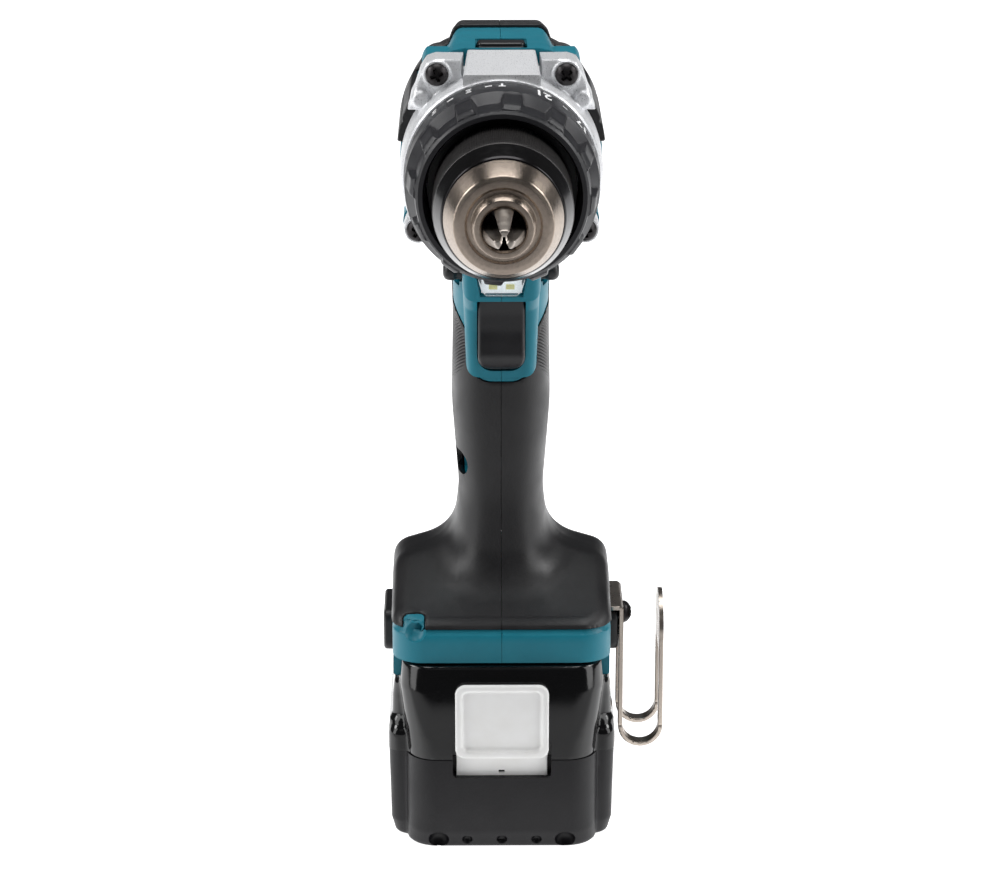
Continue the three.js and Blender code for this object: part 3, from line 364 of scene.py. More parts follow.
class Finish:
    """A Principled material whose detail is built from noise in the piece's own coordinates, in metres."""

    def __init__(self, name, rgb, roughness, metallic=0.0, **sockets):
        self.material = bpy.data.materials.new(name)
        self.material.use_nodes = True
        self.tree = self.material.node_tree
        self.shader = self.tree.nodes["Principled BSDF"]
        self.set("Base Color", linear(*rgb))
        self.set("Roughness", roughness)
        self.set("Metallic", metallic)
        for socket, value in sockets.items():
            self.set(socket.replace("_", " "), value)
        self.place = self.tree.nodes.new("ShaderNodeTexCoord").outputs["Object"]
        self.height = None
        self.roughness = roughness

    def set(self, socket, value):
        self.shader.inputs[socket].default_value = value

    def node(self, kind, **inputs):
        made = self.tree.nodes.new(kind)
        for key, value in inputs.items():
            self.connect(value, made.inputs[key.replace("_", " ")])
        return made

    def connect(self, value, socket):
        if isinstance(value, bpy.types.NodeSocket):
            self.tree.links.new(value, socket)
        else:
            socket.default_value = value

    def math(self, operation, *values):
        made = self.tree.nodes.new("ShaderNodeMath")
        made.operation = operation
        for value, socket in zip(values, made.inputs):
            self.connect(value, socket)
        return made.outputs[0]

    def noise(self, size, detail=3, stretch=(1, 1, 1)):
        """Noise with features of about size millimetres."""
        mapping = self.node("ShaderNodeMapping", Vector=self.place, Scale=stretch)
        return self.node("ShaderNodeTexNoise", Vector=mapping.outputs[0], Scale=1000 / size,
                         Detail=detail).outputs[0]

    def between(self, value, low, high, to_low, to_high):
        made = self.node("ShaderNodeMapRange", Value=value)
        for i, number in enumerate((low, high, to_low, to_high)):
            made.inputs[i + 1].default_value = number
        return made.outputs[0]

    def rough(self, value, spread):
        """Roughness that wanders round its middle."""
        low, high = self.roughness - spread, self.roughness + spread
        self.connect(self.between(value, 0.3, 0.7, low, high), self.shader.inputs["Roughness"])
        return self

    def tint(self, value, rgb, low=0.35, high=0.65, strength=1.0):
        """A second colour where the value is high."""
        mix = self.tree.nodes.new("ShaderNodeMix")
        mix.data_type = "RGBA"
        self.connect(self.between(value, low, high, 0, strength), mix.inputs["Factor"])
        source = self.shader.inputs["Base Color"]
        if source.links:
            self.tree.links.new(source.links[0].from_socket, mix.inputs[6])
        else:
            mix.inputs[6].default_value = source.default_value
        mix.inputs[7].default_value = linear(*rgb)
        self.tree.links.new(mix.outputs[2], source)
        return self

    def bump(self, value, depth, strength=1.0):
        """Relief of that depth in millimetres."""
        made = self.node("ShaderNodeBump", Height=value, Distance=depth / 1000, Strength=strength)
        if self.height:
            self.tree.links.new(self.height, made.inputs["Normal"])
        self.height = made.outputs[0]
        self.tree.links.new(self.height, self.shader.inputs["Normal"])
        return self


def plastic(name, rgb, roughness, grain=0.45, depth=0.02, spread=0.05, **sockets):
    finish = Finish(name, rgb, roughness, **sockets)
    fine, broad = finish.noise(grain), finish.noise(9, 4)
    finish.rough(broad, spread)
    finish.bump(fine, depth)
    return finish


teal = plastic("teal_plastic", (22, 118, 136), 0.4, 0.5, 0.018, Specular_IOR_Level=0.35)
teal.tint(teal.noise(14, 4), (18, 108, 126), strength=0.5)
trigger_black = plastic("trigger_plastic", (22, 21, 24), 0.44, 0.45, 0.03, 0.1)
controls_black = plastic("control_plastic", (22, 22, 24), 0.4, 0.4, 0.015)
dial_black = plastic("dial_plastic", (28, 28, 32), 0.42, 0.35, 0.02, 0.06)
battery_matt = plastic("battery_matt", (11, 10, 14), 0.44, 0.5, 0.035, Specular_IOR_Level=0.3)
battery_gloss = plastic("battery_gloss", (5, 5, 6), 0.13, 0.6, 0.006, 0.03, Specular_IOR_Level=0.5)
white_plastic = plastic("white_plastic", (243, 243, 242), 0.36, 0.5, 0.012)
white_plastic.tint(white_plastic.noise(10, 4), (234, 233, 230), strength=0.6)

rubber = Finish("rubber", (17, 16, 18), 0.44, Specular_IOR_Level=0.5)
rubber.rough(rubber.noise(12, 5), 0.08)
rubber.tint(rubber.noise(18, 5), (30, 29, 31), 0.45, 0.75, 0.5)
rubber.bump(rubber.noise(0.4), 0.05, 0.8)
plain_rubber = rubber.material.copy()
plain_rubber.name = "bumper_rubber"


def hatched_patches():
    """Slanting fine ribs in an oval on each side of the grip."""
    position = rubber.node("ShaderNodeSeparateXYZ", Vector=rubber.place).outputs
    y, z = position[1], position[2]
    across = rubber.math("DIVIDE", rubber.math("ADD", y, 0.008), 0.0185)
    up = rubber.math("DIVIDE", rubber.math("SUBTRACT", z, (158 + DATUM) / 1000), 0.0135)
    level = rubber.math("ADD", rubber.math("POWER", across, 2.0), rubber.math("POWER", up, 2.0))
    mask = rubber.between(level, 0.85, 1.0, 1, 0)
    slant = rubber.math("ADD", z, rubber.math("MULTIPLY", y, 0.6))
    ribs = rubber.math("SINE", rubber.math("MULTIPLY", slant, 2 * math.pi / 0.0011))
    rubber.bump(rubber.math("MULTIPLY", rubber.math("MULTIPLY", ribs, mask), 0.5), 0.3)


hatched_patches()

aluminium = Finish("cast_aluminium", (228, 229, 231), 0.42, 0.45, Specular_IOR_Level=0.6)
aluminium.tint(aluminium.noise(0.4, 2), (225, 226, 228), 0.55, 0.7, 0.9)
aluminium.tint(aluminium.noise(0.35, 2, (1.3, 1, 1)), (112, 114, 118), 0.58, 0.72, 0.8)
aluminium.rough(aluminium.noise(0.5), 0.12)
aluminium.bump(aluminium.noise(0.35), 0.045)


def metal(name, rgb, roughness, metallic, broad, spread, fine=None, depth=0.0):
    """A metal whose roughness wanders with a broad noise, over relief from a fine one."""
    finish = Finish(name, rgb, roughness, metallic)
    finish.rough(finish.noise(*broad), spread)
    if fine:
        finish.bump(finish.noise(*fine), depth)
    return finish


black_steel = metal("black_steel", (46, 44, 45), 0.36, 0.85, (3, 5), 0.08, (0.5,), 0.008)
band_steel = metal("polished_black_steel", (44, 43, 44), 0.2, 0.9, (2.5, 5), 0.05)
sleeve_steel = metal("sleeve_steel", (66, 64, 64), 0.42, 0.75, (2, 5), 0.08, (0.4,), 0.012)


def turned_steel(name, rgb, roughness, anisotropy):
    """Turned metal: fine rings about the drill's axis, highlights drawn into wedges, and painted shade down
    the bore.
    """
    finish = Finish(name, rgb, roughness, 1.0, Anisotropic=anisotropy)
    moved = finish.node("ShaderNodeVectorMath", Vector=finish.place)
    moved.operation = "SUBTRACT"
    moved.inputs[1].default_value = (0, 0, (AXIS + DATUM) / 1000)
    parts = finish.node("ShaderNodeSeparateXYZ", Vector=moved.outputs[0]).outputs
    radius = finish.math("SQRT", finish.math(
        "ADD", finish.math("POWER", parts[0], 2.0), finish.math("POWER", parts[2], 2.0)))
    along = finish.math("ADD", radius, finish.math("MULTIPLY", parts[1], 0.7))
    rings = finish.tree.nodes.new("ShaderNodeTexNoise")
    rings.noise_dimensions = "1D"
    finish.connect(finish.math("MULTIPLY", along, 5200), rings.inputs["W"])
    finish.bump(rings.outputs[0], 0.006)
    around = finish.math("ARCTAN2", parts[0], parts[2])
    sine, cosine = finish.math("SINE", around), finish.math("COSINE", around)
    tangent = finish.node("ShaderNodeCombineXYZ", X=sine, Y=0.0, Z=cosine)
    world = finish.tree.nodes.new("ShaderNodeVectorTransform")
    world.vector_type, world.convert_from, world.convert_to = "VECTOR", "OBJECT", "WORLD"
    finish.tree.links.new(tangent.outputs[0], world.inputs[0])
    finish.tree.links.new(world.outputs[0], finish.shader.inputs["Tangent"])
    finish.tint(finish.noise(1.2, 5), tuple(int(c * 0.8) for c in rgb), 0.45, 0.8, 0.6)
    # painted shade: the bore is coloured near black where the radius is under 6.75 mm
    finish.tint(finish.math("MULTIPLY", radius, -1000.0), (24, 23, 22), -6.75, -6.5, 0.92)
    return finish


nose_steel = turned_steel("turned_nose_steel", (170, 157, 145), 0.25, 0.95)
jaw_steel = metal("jaw_steel", (176, 168, 160), 0.35, 1.0, (2, 5), 0.06, (0.6, 4, (1, 0.15, 1)), 0.005)
nickel = metal("nickel", (178, 168, 158), 0.3, 1.0, (6, 5), 0.07, (0.5, 3, (1, 1, 0.12)), 0.008)
gear_steel = metal("gear_steel", (140, 142, 145), 0.4, 1.0, (3, 5), 0.1, (0.4, 3), 0.01)
copper = metal("copper_winding", (178, 104, 58), 0.4, 0.9, (2,), 0.1, (0.8, 2, (1, 4, 1)), 0.2)
brass = metal("brass_contact", (190, 156, 84), 0.34, 0.95, (2, 4), 0.1, (0.5, 3), 0.01)
board = plastic("circuit_board", (28, 86, 56), 0.45, 0.5, 0.02)
board.tint(board.noise(2.5, 2), (60, 120, 80), 0.58, 0.6, 1.0)
cell_wrap = plastic("cell_wrap", (44, 106, 160), 0.35, 3, 0.05)

lens = Finish("clear_lens", (240, 246, 248), 0.06, 0.0, Transmission_Weight=0.92, IOR=1.47)
lens.rough(lens.noise(4), 0.02)
reflector = plastic("lamp_reflector", (232, 234, 236), 0.3, 0.5, 0.01)
# painted glow: the reflector shines white by itself, though only the chips are the lamp
reflector.set("Emission Color", (1, 1, 1, 1))
reflector.set("Emission Strength", 0.55)
chip = plastic("lamp_chip", (248, 238, 150), 0.4, 0.3, 0.01)
chip.set("Emission Color", linear(250, 240, 150))
chip.set("Emission Strength", 0.25)
mark_white = plastic("mark_white", (240, 240, 240), 0.5, 0.3, 0.01)

SLOTS = {
    "teal_housing": teal, "rubber": rubber, "cast_aluminium": aluminium, "black_plastic": controls_black,
    "charcoal_plastic": trigger_black, "black_steel": black_steel, "warm_steel": nose_steel,
    "bright_steel": jaw_steel, "gear_steel": gear_steel, "nickel": nickel, "copper_winding": copper,
    "brass_contact": brass, "clear_lens": lens, "led_board": reflector, "circuit_board": board,
    "battery_gloss": battery_gloss, "battery_matt": battery_matt, "button_white": white_plastic,
    "cell_wrap": cell_wrap,
}


# ---- the body's shape ----

GAP = 0.3
SEAM = 0.06  # half the fine line between the two halves
RUBBER = 2.0
WALL = 2.6

head_at = eased([
    (CASE_Y, 32.4, 31, 33), (18, 32.4, 30, 33), (44, 30.5, 28, 30), (55, 27, 25, 26), (REAR_Y, 22, 20, 21),
], 5)
hump_at = eased([
    (CASE_Y, 15.1, 37, 35.4), (10, 14.7, 35.1, 29.8), (20, 14.4, 34.1, 27), (44, 13.2, 31.2, 23.6),
    (56, 10, 25.5, 19.5),
], 5)
handle_at = eased([
    (60, 20, -33, 24), (90, 16, -29.5, 18), (107, 14, -27.5, 13.5), (122, 15.2, -28.2, 12.5),
    (138, 16.4, -29, 12.5), (165, 15.9, -29.5, 13), (178, 16.2, -29.5, 20), (200, 17, -29, 29),
], 7)
foot_top_at = eased([
    (-57, 70.3), (-52, 71.2), (-40, 75), (-14, 83.5), (4, 83.5), (20, 77), (42, 70), (50, 67.6),
], 4)


def head(x, y, z):
    half, up, down = head_at(y)
    shell = squircle(x, z - AXIS, half, up, down, 2.5)
    return smooth_max(smooth_max(shell, y - REAR_Y, 7), CASE_Y - y, 0.4)


def hump(x, y, z):
    """The flat ridge over the gears, with a lower shoulder on each side."""
    half, top, low = hump_at(y)
    h, side = z - AXIS, np.abs(x)
    shoulder = smooth_max(h - low, (side - 24.8) * 0.982 + (h - low + 2) * 0.188, 6)
    drop = top - low
    slope = ((side - half) * np.maximum(drop, 1.5) + (h - top) * 2.6) / np.hypot(np.maximum(drop, 1.5), 2.6)
    ridge = most(smooth_max(h - top, slope, 2.2), side - half - 4, 10 - h)
    whole = smooth_min(shoulder, ridge, 1.2)
    return smooth_max(smooth_max(most(whole, -h), y - REAR_Y + 3, 10), CASE_Y - y, 0.4)


def handle(x, y, z):
    half, front, back = handle_at(z)
    reach = (back - front) / 2
    shell = squircle(x, y - (front + back) / 2, half, reach, reach, 2.7)
    return most(shell, z - 200, 59 - z)


def foot(x, y, z):
    side = np.abs(x)
    fall = np.clip((y + 46) / 40, 0, 1) * 0.3
    top = z - foot_top_at(y)[0] - fall * np.clip(32 - side, -4, 18)
    plan = rounded_rectangle(x, y, (-36.4, -52), (36.4, 50), 11)
    return most(smooth_max(top * 0.95, plan, 5.5), 58.4 - z)


def lower_body(x, y, z):
    return smooth_min(handle(x, y, z), foot(x, y, z), 10)


def chin(x, y, z):
    """The nose under the gear case that holds the lamp."""
    side = outline(y, z, [
        (-20, 150), (-29.4, 150), (-30.2, 166), (-31.5, 173), (-35.5, 177.6), (-42.6, 179.2), (-43.4, 189.6),
        (-20, 189.6),
    ])
    half = 11.4 + np.clip((z - 150) / 40, 0, 1) * 1.4
    return smooth_max(side, np.abs(x) - half, 4.5)


LUGS = [(20.4, 31.3), (26.7, -19)]


def lugs(x, z, radius):
    return least(*[rod(np.abs(x), z - AXIS, radius, lug) for lug in LUGS])


def grip_zone(x, y, z):
    """Negative where the grip's rubber covers the body."""
    side = outline(y, z, [
        (-70, 70), (-70, 172), (-24, 172), (-5, 179), (12, 190), (80, 194), (80, 70), (6, 70), (6, 40),
        (-22, 40), (-22, 70),
    ])
    half = 11.6 + np.clip(z - 165, 0, 9) * 0.62
    window = meet(np.abs(x) - half, 148.2 - z, 8.5)
    trigger_guard = most(window, y + 6)
    notch = block(x, y, z, (-32.6, -70, 66), (-25.2, -44, 75), 2)
    return most(side, -trigger_guard, -notch)


def dimple(x, y, z):
    return np.sqrt((x + 28.9) ** 2 + (y + 51.6) ** 2 + (z - 70.2) ** 2) - 4.3


def bumper_zone(x, y, z, grow=0.0):
    h = z - AXIS
    rear = outline(y, h, [(20.5, 80), (20.5, 7), (24, 4), (80, 4), (80, 80)])
    strip = meet(most(slab(y, -29.5, 22), 24 - np.abs(x)), slab(h, 6.6, 19.4), 1.2)
    return least(rear, strip) - grow


# each as (y, z, half width of the body, depth of the well, how far the well runs forward)
SCREWS = [(-13, 118, 14.4, 5, 6.8), (4, 191, 17, 4.5, 0), (52, 203, 22, 4.5, 0), (42.4, 63.8, 34.2, 6, 0)]


def slot_round(y, z, radius, at, run):
    """A round hole drawn out toward the front."""
    return np.hypot(y - np.clip(y, at[0] - run, at[0]), z - at[1]) - radius


def screw_wells(x, y, z, radius):
    """Wells for the housing screws' heads, on the right-hand side."""
    wells = [most(slot_round(y, z, radius, (sy, sz), run), x + reach - depth)
             for sy, sz, reach, depth, run in SCREWS]
    holes = [most(rod(y, z, 2.3, (sy, sz)), x - 11) for sy, sz, *_ in SCREWS]
    return least(*wells, *holes)


def upper_body(x, y, z):
    return least(head(x, y, z), hump(x, y, z))


def housing(x, y, z):
    h, side = z - AXIS, np.abs(x)
    top = upper_body(x, y, z)
    low = lower_body(x, y, z)
    zone = grip_zone(x, y, z)
    bare = most(low + 0.35 + 0.35 * (z > 68.4) * (z < 72), -zone + GAP)
    under = low + RUBBER + GAP
    necks = most(lugs(x, z, 4.9), slab(y, CASE_Y, -16), h - 35)
    outside = smooth_min(least(top, necks), chin(x, y, z), 2.5)
    skirt_x = meet(slab(side, 28.6, 35.9), slab(z, 50.2, 62), 0.8)
    skirt = most(skirt_x, slab(y, -40, 49.6))
    skirt = most(skirt, -most(34.1 - side, slab(y, -22.3, 6.3), z - 63))
    stop = block(x, y, z, (-35.5, 47.6, 50.2), (35.5, 49.7, 61), 0.8)
    rails = most(slab(side, 26.7, 29), slab(y, -38, 46), slab(z, 53.4, 55.2))
    outside = least(outside, bare, under, skirt, stop, rails)

    recess = most(bumper_zone(x, y, z, GAP), -(top + 1.3))
    motor_room = most(top + WALL + 0.6, CASE_Y - 12 - y)
    handle_room = handle(x, y, z) + RUBBER + GAP + WALL
    foot_room = most(foot(x, y, z) + RUBBER + GAP + WALL, 58.45 - z)
    battery_room = block(x, y, z, (-28.6, -49.7, 50), (28.6, 47.6, 62), 0.1)
    rooms = least(motor_room, handle_room, foot_room, battery_room)
    walls = [most(slab(y, a, b), side - reach, np.abs(h) - 11, 6.8 - np.hypot(x, h))
             for a, b, reach in ((-7.2, -3, 29.6), (43, 47, 26.6))]
    posts = least(*[most(slot_round(y, z, 4.6, (sy, sz), run), side - reach + 4)
                    for sy, sz, reach, _, run in SCREWS])
    body = least(most(outside, -rooms, -recess), *walls, most(posts, least(under, top)))

    vents = most(least(*[slab(y, v, v + 2.2) for v in (28, 32.8, 37.6)]), slab(h, -14, 0), 22 - side)
    frame_hole = outline(x, z, [(-6.9, 180.7), (6.9, 180.7), (8.2, 187.6), (-8.2, 187.6)])
    lamp = least(most(frame_hole, y + 39.6), block(x, y, z, (-6.8, -44, 181.5), (6.8, -25, 186.5), 0.1))
    lever = rounded_rectangle(y, z, (-24.3, 180.3), (-15.7, 187.1), 3)
    trigger = most(rounded_rectangle(x, z, (-7.9, 152.2), (7.9, 190), 5.2), z - 178.1, slab(y, -50, -12))
    dish = most(rounded_rectangle(y, z, (-60, 178.8), (-12.6, 200), 3), 13.6 - side, h + 31.8)
    shift = block(x, y, z, (-8.3, -28.6, AXIS + 18), (8.3, -8.4, AXIS + 60), 0.8)
    lug_holes = most(lugs(x, z, 2.6), slab(y, -45, -22.5))
    boss_holes = most(rod(y, z, 2.3, (-8, 60.5)), 31 - side)
    front_hole = least(rod(x, h, 25), most(side - 11.6, slab(h, 20, 31.5)))
    front_hole = most(front_hole, slab(y, CASE_Y - 1, -26))
    return most(body, -least(vents, lamp, lever, trigger, dish, shift, lug_holes, boss_holes, front_hole),
                -screw_wells(x, y, z, 4.1), -dimple(x, y, z))


def housing_inside(x, y, z):
    """The inner walls, and what the rubber hides."""
    hidden = upper_body(x, y, z) > -1.2
    low = lower_body(x, y, z)
    covered = (grip_zone(x, y, z) < -1.5) & (low > -3.2)
    front = (y < -26) & (np.abs(x) < 14) & (z > 146)
    shown = hidden & (low > -1.2) | front | (z < 64) & (low > -3) & ~covered
    return ~shown


def half_of(field, side):
    return lambda x, y, z: most(field(x, y, z), SEAM - x * side)


def grip(x, y, z):
    low = lower_body(x, y, z)
    zone = grip_zone(x, y, z)
    skin = meet(low, zone, 0.5)
    skin = most(skin, -(low + RUBBER))
    tongue = most(slab(y, -22, 6), slab(z, 51, 63), slab(np.abs(x), 34.5, 36.4))
    pads = meet(meet(rounded_rectangle(y, z, (-21, 51), (5, 65.2), 3.4), np.abs(x) - 39.5, 1.2),
                34.5 - np.abs(x), 0.1)
    whole = least(skin, tongue, most(pads, -(low + RUBBER)))
    holes = most(rod(y, z, 2.3, (-8, 60.5)), 31 - np.abs(x))
    return most(whole, -holes, -screw_wells(x, y, z, 4.1), -(head(x, y, z) - GAP))


def grip_inside(x, y, z):
    return lower_body(x, y, z) < -1.3


def bumper(x, y, z):
    h = z - AXIS
    top = upper_body(x, y, z)
    zone = bumper_zone(x, y, z)
    thick = top - 1.2
    ridge = 0.45 * np.exp(-((h - 13) / 0.7) ** 2) * (y < 20)
    proud = meet(thick + ridge, zone, 0.8)
    return most(proud, -(top + 1.0), -(y + 29.4))


def bumper_inside(x, y, z):
    return upper_body(x, y, z) < -0.5


def add_body():
    for word, side in (("left", 1), ("right", -1)):
        low, high = (-41, -53, 49), (41, REAR_Y + 2, AXIS + 40)
        low = (0, *low[1:]) if side > 0 else low
        high = high if side > 0 else (0, *high[1:])
        grow(f"housing_{word}_shell", half_of(housing, side), low, high, 0.65, teal.material, "tool",
             f"housing_{word}", slot="teal_housing", plain=housing_inside)
        grow(f"grip_{word}_skin", half_of(grip, side), (low[0], -53, 50), (high[0], 51, AXIS - 20), 0.75,
             rubber.material, "tool", f"grip_{word}", slot="rubber", plain=grip_inside)
        grow(f"bumper_{word}_band", half_of(bumper, side), (low[0], -31, AXIS),
             (high[0], REAR_Y + 2, AXIS + 39), 0.6, plain_rubber, "tool", f"bumper_{word}", slot="rubber",
             plain=bumper_inside)


# ---- gear case and torque ring ----

RING_FRONT, RING_REAR = extent("torque_ring")[0][1], extent("torque_ring")[1][1]
BELL = [
    (14.5, -69), (14.5, -49.3), (23, -49.3), (23, -51), (30.9, -51), (31.5, -50.2), (32, -47), (32.2, -30),
    (24.6, -30), (24.6, -8), (22.3, -8), (22.3, -46.3), (9.5, -46.3), (9.5, -57), (13, -57), (13, -69),
]


def gear_case(x, y, z):
    h, side = z - AXIS, np.abs(x)
    bell = outline(np.hypot(x, h), y, BELL) - 0.15
    flange = outline(side, h, [
        (-5, 35.5), (20.6, 35.7), (23.4, 34.8), (25.2, 32.0), (29.3, 19.7), (26, 19.7), (20, 8), (20, -12),
        (29.4, -15), (30.8, -19), (28.6, -23), (24, -23.4), (20, -14), (-5, 0),
    ]) - 0.3
    front = -42.4 + 0.16 * np.clip(30 - h, 0, 12)
    plate = meet(flange, most(front - y, y - CASE_Y + 0.3), 0.9)
    posts = meet(lugs(x, z, 4.3), slab(y, -43, CASE_Y - 0.3), 0.5)
    pads = meet(rod(side, h, 2.7, (25.6, 23)), slab(y, -43.2, CASE_Y - 0.3), 1.2)
    fixing = smooth_min(smooth_min(plate, posts, 0.8), pads, 1.5)
    half = 10.8 + (CASE_Y - y) / 20 * 1.3
    top = smooth_max((h - 37) * 0.98 - (CASE_Y - y) * -0.205, side - half, 0.9)
    top = most(top, y - CASE_Y + 0.3, 20 - h, -50.6 - y)
    valley = meet(side - half - 1.2, most(-(y + 60), y + 29), 0.5)
    groove = most(side - half - 1.0, half - side - 0.1, 24 - h, -(h - 45))
    outside = smooth_min(most(fixing, -valley), bell, 1.0)
    outside = least(outside, smooth_min(top, bell, 0.5))
    outside = most(outside, -most(groove, 34.6 - h))
    room = least(most(np.hypot(x, h) - 24.7, -46.3 - y), most(np.hypot(x, h) - 28, slab(y, -45, -20)))
    body = least(most(outside, -room), outline(np.hypot(x, h), y, BELL))
    slots = block(x, y, h, (-26, -23, -2), (26, -13, 2), 0.2)
    holes = most(lugs(x, z, 2.5), slab(y, -50, -20))
    return most(body, -slots, -holes, y + 7.8)


def gear_case_inside(x, y, z):
    r = np.hypot(x, z - AXIS)
    return (r < 26) & (y > -48) | (y > -30.5) | (r < 28) & (y < -51.2)


RING_PROFILE = [
    (24.7, RING_FRONT), (26.1, RING_FRONT), (26.8, RING_FRONT + 0.7), (27.1, -76.2), (27.5, -68.6),
    (29.7, -65.2), (30.4, -64.2), (30.45, RING_REAR + 0.5), (30.1, RING_REAR), (24, RING_REAR), (23.9, -75),
]


def torque_ring(x, y, z):
    """The dial: a smooth rear band, and a narrower front with twelve bevelled blocks."""
    h = z - AXIS
    r, turn = np.hypot(x, h), np.arctan2(x, h) - math.radians(6)
    step = math.pi / 6
    turn = turn - np.round(turn / step) * step
    u, v = r * np.sin(turn), r * np.cos(turn)
    body = outline(r, y, RING_PROFILE)
    lean = (y + 76.5) / 11
    half = 2.6 + 0.6 * lean
    top = v - 28.6 - 1.1 * lean
    flank = (np.abs(u) - half) * 0.93 + (v - 28.5) * 0.37
    bevel = (-76.9 - y) * 0.6 + (v - 27.6) * 0.8
    tooth = most(smooth_max(smooth_max(top, flank, 0.5), bevel, 0.5), -77.2 - y, y + 62, 25 - v)
    return smooth_min(body, tooth, 0.5)


def add_gear_case():
    grow("gear_case_casting", gear_case, (-33, -70, AXIS - 33), (33, -7, AXIS + 39), 0.55, aluminium.material,
         "tool", "gear_case", slot="cast_aluminium", plain=gear_case_inside)
    grow("torque_dial", torque_ring, (-32, RING_FRONT, AXIS - 32), (32, RING_REAR, AXIS + 32), 0.55,
         dial_black.material, "torque_ring", "torque_ring", slot="black_plastic", sharp=25)


def bent_text(text, size, angle, y):
    """Raised figures on the dial's band, the right way up from behind the drill."""
    curve = bpy.data.curves.new("figures", "FONT")
    curve.body, curve.size = text, size
    curve.align_x, curve.align_y = "CENTER", "CENTER"
    curve.extrude = 0.06
    curve.offset = 0.09
    curve.resolution_u = 3
    source = bpy.data.objects.new("figures", curve)
    mesh = bpy.data.meshes.new_from_object(source)
    bpy.data.objects.remove(source)
    co = np.empty(len(mesh.vertices) * 3, np.float32)
    mesh.vertices.foreach_get("co", co)
    return mesh, bent_round(co.reshape(-1, 3) * (1.3, 2.2, 1), angle, y)


BAND_RADIUS = 30.48
MARK_Y = -56.0


def bent_round(points, angle, y):
    """Flat points (right, up, out), in millimetres, laid round the dial's band."""
    turn = math.radians(angle) - points[:, 0] / BAND_RADIUS
    radius = BAND_RADIUS + points[:, 2]
    along = y - points[:, 1]
    return np.stack([radius * np.sin(turn), along, AXIS + radius * np.cos(turn)], -1)


def add_marks():
    """Figures and ticks round the dial, one joined piece."""
    coordinates, faces = [], []
    count = 0

    def take(points, polygons):
        nonlocal count
        coordinates.append(points)
        faces.extend([[v + count for v in polygon] for polygon in polygons])
        count += len(points)

    for i, number in enumerate(("21", "17", "13", "9", "5", "1")):
        mesh, points = bent_text(number, 4.6, 25 + 30 * i, MARK_Y)
        take(points, [list(p.vertices) for p in mesh.polygons])
        bpy.data.meshes.remove(mesh)

    def bar(angle, low, high):
        (u0, v0), (u1, v1) = low, high
        v0, v1 = v0 * 2.6, v1 * 2.6
        u = np.linspace(u0, u1, 5)
        ring = [(a, b, c) for a in u for b, c in ((v0, -0.06), (v1, -0.06), (v1, 0.06), (v0, 0.06))]
        polygons = [[4 * i + j, 4 * i + (j + 1) % 4, 4 * i + 4 + (j + 1) % 4, 4 * i + 4 + j]
                    for i in range(4) for j in range(4)]
        polygons += [[3, 2, 1, 0], [16, 17, 18, 19]]
        take(bent_round(np.array(ring), angle, MARK_Y), polygons)

    for i in range(5):
        bar(40 + 30 * i, (-0.9, -0.2), (0.9, 0.2))
    for angle in (-8, -32):
        bar(angle, (-1.1, -0.22), (1.1, 0.22))
    bar(0, (-1.1, 0.2), (1.1, 0.6))
    bar(0, (-0.35, -0.9), (0.35, 0.2))
    for angle in (-20, -44):
        bar(angle, (-0.9, 0.55), (0.9, 0.85))
        bar(angle, (-0.6, -0.15), (0.6, 0.15))
        bar(angle, (-0.9, -0.85), (0.9, -0.55))
    mesh = bpy.data.meshes.new("dial_marks")
    co = (np.concatenate(coordinates) + (0, 0, DATUM)) / 1000
    mesh.from_pydata(co.tolist(), [], faces)
    mesh.update()
    mesh.validate()
    add("dial_marks", mesh, mark_white.material, "torque_ring", slot="button_white")


# ---- chuck ----

def add_chuck():
    n = NOSE_Y
    body = bevelled([
        (6.3, -91), (6.3, n + 1.2), (7.1, n), (8.9, n), (9.6, n + 1.7), (9.8, n + 4.9), (11.1, n + 4.9),
        (11.6, n + 4.4), (13.6, n + 4.5), (14.9, n + 4.9), (15.2, n + 5.2), (18.25, n + 13.1),
        (14.2, n + 13.3), (14.2, -103.1), (10.8, -103.1), (12.5, -96.5), (16.2, -96.5), (16.2, -76),
        (12, -76), (12, -71.5), (6.65, -71.5), (6.65, -91),
    ], 0.3)
    vertices, quads = lathe(body, 256)
    mesh = mesh_of("chuck_nose", vertices, quads, sharp=28)
    chuck = add("chuck_nose", mesh, nose_steel.material, "spindle", "chuck_body", slot="warm_steel")
    cut_jaw_bores(chuck)

    band = bevelled([
        (14.6, n + 13.9), (18.5, n + 13.9), (19.0, n + 14.8), (21.1, n + 21.0), (21.3, n + 21.6),
        (19, n + 21.6), (19, -103.2), (14.6, -103.2),
    ], 0.25)
    vertices, quads = lathe(band, 192)
    add("chuck_band", mesh_of("chuck_band", vertices, quads), band_steel.material, "sleeve",
        slot="black_steel")

    knurled = [(19.02, n + 21.75), (21.0, n + 21.75), (21.35, n + 22.2)]
    knurled += [(21.55, y) for y in np.linspace(n + 22.6, -71.6, 10)]
    knurled += [(21.2, -70.6), (20.8, -70), (19.02, -70)]

    def ripple(radius, angle):
        deep = 0.24 * (radius > 21.4)
        return radius - deep * (0.5 - 0.5 * np.cos(angle * 240)) ** 0.8

    vertices, quads = lathe(knurled, 960, ripple)
    add("chuck_sleeve_knurl", mesh_of("chuck_sleeve_knurl", vertices, quads, sharp=60),
        sleeve_steel.material, "sleeve", "chuck_sleeve", slot="black_steel")


JAW_TILT = math.radians(15.5)
JAW_RADIUS = 4.1
BORE_RADIUS = 4.4
TIP_Y = extent("jaw_1")[0][1]
TIP_RADIUS = 3.0


def jaw_centre(y):
    """How far a jaw's leaning middle line is from the drill's axis."""
    return TIP_RADIUS - JAW_RADIUS / math.cos(JAW_TILT) + (y - TIP_Y) * math.tan(JAW_TILT)


def folded(x, z, turn):
    """Coordinates that bring the jaw at that angle to twelve o'clock."""
    h = z - AXIS
    return x * math.cos(turn) - h * math.sin(turn), x * math.sin(turn) + h * math.cos(turn)


